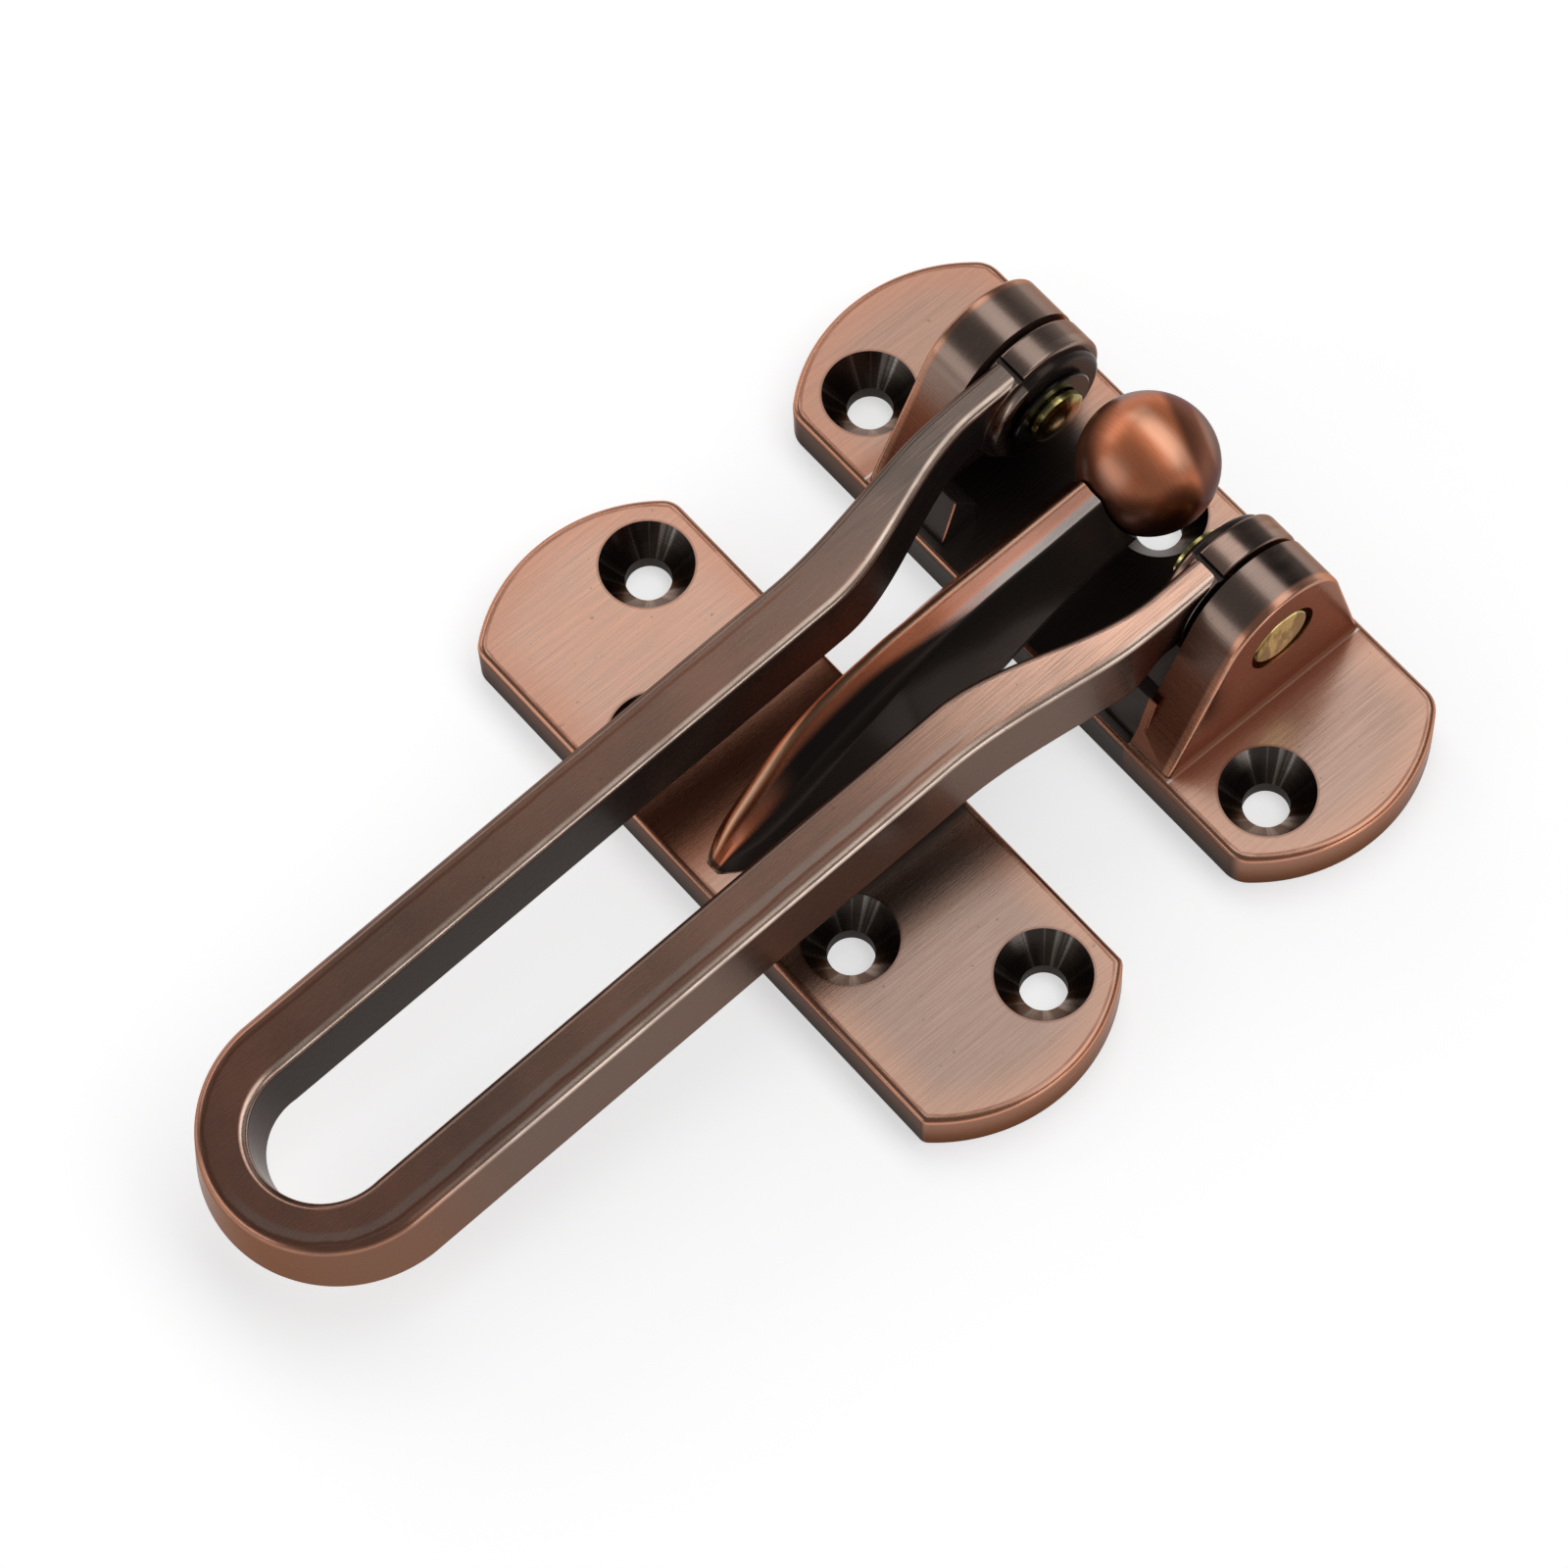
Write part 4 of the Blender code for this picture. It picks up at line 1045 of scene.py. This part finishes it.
def stud_bore():
    """The tool that cuts the stud's bore, in the arm's end and in the ball."""
    bore = bmesh.new()
    place = Matrix.Translation(STUD_PLACE) @ Matrix.Rotation(QUARTER_TURN, 4, "X")
    disc(bore, STUD_BORE, -STUD_REACH, STUD_REACH, place, STUD_STEPS)
    return bore


def sphere(radius, steps, place):
    work = bmesh.new()
    bmesh.ops.create_uvsphere(
        work, u_segments=steps[0], v_segments=steps[1], radius=radius,
        matrix=Matrix.Translation(BALL_PLACE) @ place,
    )
    return work


def door_plate(material):
    blank = plate(DOOR_PLATE_WIDTH, DOOR_PLATE_CORNERS, DOOR_PLATE_Y)
    arm = lofted([arm_ring(step / ARM_STEPS) for step in range(ARM_STEPS + 1)])
    seat = sphere(BALL_RADIUS + BALL_SEAT_GAP, SEAT_STEPS, Matrix())
    tools = [(arm, "UNION"), (seat, "DIFFERENCE"), (stud_bore(), "DIFFERENCE")]
    tools += [(screw_hole(x, y), "DIFFERENCE") for x, y in DOOR_HOLES]
    work = combined(blank, tools)
    finished("door_side_plate", work, material, "door_side", "door_plate", "door_plate")


def ball(material):
    """The ball, its poles on the stud's axis."""
    solid = sphere(BALL_RADIUS, BALL_STEPS, Matrix.Rotation(QUARTER_TURN, 4, "X"))
    work = combined(solid, [(stud_bore(), "DIFFERENCE")])
    finished("stop_ball", work, material, "door_side", "ball", "ball")


# Swing bar and pins


def leg_section(y):
    """The bar's section at one place along its leg, as (distance from the middle, height)."""
    inner = SLOT_HALF + INNER_REACH * eased(y, SPREAD_START, INNER_SPREAD)
    outer = BAR_HALF + OUTER_REACH * eased(y, SPREAD_START, OUTER_SPREAD)
    fade = 1 - eased(y, DRAFT_FADE_START, DRAFT_FADE)
    inner_draft = INNER_DRAFT * (1 - eased(y, SPREAD_START, INNER_SPREAD))
    under = BAR_TOP - BAR_HEIGHT
    corners = (
        (inner - inner_draft, under),
        (outer + OUTER_DRAFT * fade, under),
        (outer, BAR_TOP),
        (inner, BAR_TOP),
    )
    radii = (BAR_UNDER_ROUND, BAR_UNDER_ROUND, BAR_TOP_ROUND, BAR_TOP_ROUND)
    return rounded_corners(corners, radii, ROUND_SEGMENTS)


def loop_ring(angle):
    """The bar's section at an angle round the loop, thinnest at its end."""
    middle = (SLOT_HALF + BAR_HALF) / 2
    keep = 1 - 2 * LOOP_THINNING * math.sin(angle) / (BAR_HALF - SLOT_HALF)
    points = []
    for distance, height in leg_section(-LOOP_CENTRE):
        reach = middle + (distance - middle) * keep
        points.append((-reach * math.cos(angle), -LOOP_CENTRE - reach * math.sin(angle), height))
    return points


def bar_eye(place):
    """An eye's two forms, each with its edges rounded."""
    eye = bmesh.new()
    disc(eye, EYE_RADIUS, EYE[0], EYE[1], place, BARREL_STEPS)
    round_over(eye, sharp_edges(eye, lambda m: True), EYE_EDGE_ROUND, EYE_SEGMENTS)
    boss = bmesh.new()
    disc(boss, EYE_BOSS_RADIUS, EYE_BOSS_X, EYE[0] + SUNK, place, BARREL_STEPS)
    round_over(boss, sharp_edges(boss, lambda m: abs(m.x) < EYE[0]), EYE_EDGE_ROUND, EYE_SEGMENTS)
    return eye, boss


def eye_cuts(side, place):
    """The tools that cut an eye's bore and the notch across its top."""
    bore = bmesh.new()
    disc(bore, PIN_BORE, EYE_BOSS_X - SPARE, EYE[1] + SPARE, place, BORE_STEPS)
    length, height = NOTCH_TOOL
    middle = (side * (EYE[0] + EYE[1]) / 2, NOTCH_Y, BAR_TOP - NOTCH_DEPTH + height / 2)
    groove = bmesh.new()
    bmesh.ops.create_cube(
        groove, size=1,
        matrix=Matrix.Translation(middle) @ Matrix.Diagonal((length, NOTCH_WIDTH, height, 1)),
    )
    return bore, groove


def swing_bar(material):
    """Two legs and a loop in one loft, then the eyes."""
    spread_end = -SPREAD_START - OUTER_SPREAD
    places = [LEG_START_Y]
    places += [-SPREAD_START - OUTER_SPREAD * step / SPREAD_STEPS for step in range(SPREAD_STEPS + 1)]
    places += [spread_end - LEG_STEP * step for step in range(1, LEG_STEPS + 1)]
    rings = [[(-d, y, z) for d, z in leg_section(y)] for y in places]
    rings += [loop_ring(HALF_TURN * step / LOOP_STEPS) for step in range(LOOP_STEPS + 1)]
    rings += [[(d, y, z) for d, z in leg_section(y)] for y in reversed(places)]
    sides = [(side, Matrix.Rotation(side * QUARTER_TURN, 4, "Y")) for side in LEFT_AND_RIGHT]
    tools = [(form, "UNION") for _, place in sides for form in bar_eye(place)]
    tools += [(cut, "DIFFERENCE") for side, place in sides for cut in eye_cuts(side, place)]
    work = combined(lofted(rings), tools)
    bmesh.ops.transform(work, matrix=BAR_PLACE, verts=work.verts[:])
    finished("bar", work, material, "bar", "swing_bar", "swing_bar")


def hinge_pin(side, word, material):
    """A pin with a domed head inside its eye and a rounded rivet in its ear's recess."""
    head_low, head_high = PIN_HEAD
    rivet_low, rivet_high = PIN_RIVET
    curve = (PIN_HEAD_RADIUS**2 + PIN_HEAD_DOME**2) / (2 * PIN_HEAD_DOME)
    half = math.asin(PIN_HEAD_RADIUS / curve)
    rim = PIN_RIVET_ROUND
    profile = [(0, rivet_high), (PIN_RIVET_RADIUS - rim, rivet_high)]
    profile += arc((PIN_RIVET_RADIUS - rim, rivet_high - rim), rim, QUARTER_TURN, 0, 5)
    profile += [(PIN_RIVET_RADIUS, rivet_low), (PIN_RADIUS, rivet_low), (PIN_RADIUS, head_high)]
    profile += [(PIN_HEAD_RADIUS, head_high)]
    profile += arc((0, head_low + curve), curve, half - QUARTER_TURN, -QUARTER_TURN, 10)
    work = turned(profile, along_x(side))
    finished("pivot_pin_" + word, work, material, "hinge_side", "hinge_pins", "hinge_pin_" + word)


def washer(side, word, material):
    low, high = WASHER
    rim = WASHER_BEVEL
    profile = [(PIN_BORE, high), (WASHER_RADIUS - rim, high), (WASHER_RADIUS, high - rim)]
    profile += [(WASHER_RADIUS, low + rim), (WASHER_RADIUS - rim, low), (PIN_BORE, low)]
    work = turned(profile, along_x(side), closed=True)
    finished("ring_" + word, work, material, "hinge_side", "pin_washers", "pin_washer_" + word)


# Stage

FLOOR_HALF = 2.5
FLOOR_DROP = 0.0002

# The camera's azimuth, elevation and roll in degrees, and the place it looks at
CAMERA_ANGLES = (53.09, 64.76, -4.17)
CAMERA_AIM = (-0.00430, -0.03445, 0)
CAMERA_DISTANCE = 0.61959
LENS = 139.75
SENSOR_WIDTH = 36.0
CLIP_START = 0.01

LAMP_AIM = (0, -0.03, 0)
LAMP_DISTANCE = 1.0

# Name, direction, length and width, brightness and the direction of the length
LAMPS = (
    ("overhead strip", (0.08, 0.375, 0.93), (1.80, 0.54), 1.40, (1, 0, 0)),
    ("left card", (-0.84, -0.02, 0.50), (0.9, 0.36), 1.3, (0, 1, 0)),
    ("right card", (0.96, 0.12, 0.12), (0.34, 0.20), 2.4, (0, 1, 0)),
    ("front card", (-0.30, -0.88, 0.36), (0.9, 0.42), 1.05, (1, 0, 0)),
)

# The room's brightness by height, from low to high
ROOM_LEVELS = ((0.0, 0.50), (0.22, 0.34), (0.50, 0.12), (0.80, 0.14))


def floor():
    work = bmesh.new()
    bmesh.ops.create_grid(
        work, x_segments=1, y_segments=1, size=FLOOR_HALF, matrix=Matrix.Translation((0, 0, -FLOOR_DROP)),
    )
    mesh = bpy.data.meshes.new("floor")
    work.to_mesh(mesh)
    work.free()
    mesh.materials.append(pale_floor_paint())
    sheet = bpy.data.objects.new("floor", mesh)
    bpy.context.scene.collection.objects.link(sheet)


def softbox(name, direction, size, level, along):
    """A rectangular lamp of even brightness that faces the object."""
    back = Vector(direction).normalized()
    side = (Vector(along) - back * back.dot(Vector(along))).normalized()
    lamp = bpy.data.lights.new(name, "AREA")
    lamp.shape = "RECTANGLE"
    lamp.size, lamp.size_y = size
    lamp.energy = level * math.pi * size[0] * size[1]
    made = bpy.data.objects.new(name, lamp)
    place = Matrix((side, back.cross(side), back)).transposed().to_4x4()
    place.translation = Vector(LAMP_AIM) + back * LAMP_DISTANCE
    made.matrix_world = place
    bpy.context.scene.collection.objects.link(made)


def camera():
    """The camera at the photo's angle."""
    azimuth, elevation, roll = (math.radians(angle) for angle in CAMERA_ANGLES)
    away = math.cos(elevation)
    back = Vector((math.sin(azimuth) * away, -math.cos(azimuth) * away, math.sin(elevation)))
    level = Vector((math.cos(azimuth), math.sin(azimuth), 0))
    rise = back.cross(level)
    right = level * math.cos(roll) + rise * math.sin(roll)
    up = rise * math.cos(roll) - level * math.sin(roll)
    lens = bpy.data.cameras.new("camera")
    lens.sensor_width = SENSOR_WIDTH
    lens.lens = LENS
    lens.clip_start = CLIP_START
    made = bpy.data.objects.new("camera", lens)
    place = Matrix((right, up, back)).transposed().to_4x4()
    place.translation = Vector(CAMERA_AIM) + back * CAMERA_DISTANCE
    made.matrix_world = place
    bpy.context.scene.collection.objects.link(made)
    bpy.context.scene.camera = made


def room():
    """A dim grey room, lighter below."""
    world = bpy.data.worlds.new("room")
    world.use_nodes = True
    tree = world.node_tree
    heading = tree.nodes.new("ShaderNodeTexCoord")
    split = tree.nodes.new("ShaderNodeSeparateXYZ")
    tree.links.new(heading.outputs["Generated"], split.inputs[0])
    walls = tree.nodes.new("ShaderNodeValToRGB")
    while len(walls.color_ramp.elements) < len(ROOM_LEVELS):
        walls.color_ramp.elements.new(1.0)
    for element, (place, level) in zip(walls.color_ramp.elements, ROOM_LEVELS):
        element.position = place
        element.color = (level, level, level, 1.0)
    tree.links.new(split.outputs["Z"], walls.inputs[0])
    tree.links.new(walls.outputs[0], tree.nodes["Background"].inputs["Color"])
    bpy.context.scene.world = world
    bpy.context.scene.view_settings.view_transform = "Standard"


def main():
    hinge_plate(antique_copper("copper hinge plate", hinge_plate_coats))
    door_plate(antique_copper("copper door plate", door_plate_coats))
    bar_frame = {"move": (0, PIN_Y, PIN_HEIGHT), "turn": (REST_TILT, 0, 0)}
    swing_bar(antique_copper("copper bar", bar_coats, **bar_frame))
    ball(ball_copper())
    pin_metal = brass()
    ring_metal = steel("black steel", BLACK_STEEL, 1200.0, 0.9, 0.12, 0.15)
    for side, word in zip(LEFT_AND_RIGHT, ("left", "right")):
        hinge_pin(side, word, pin_metal)
        washer(side, word, ring_metal)
    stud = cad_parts["ball_stud"].data
    stud.materials.clear()
    stud.materials.append(steel("plain steel", PLAIN_STEEL, 900.0, 1.0, 0.3, 0.1))
    floor()
    camera()
    room()
    for lamp in LAMPS:
        softbox(*lamp)


main()
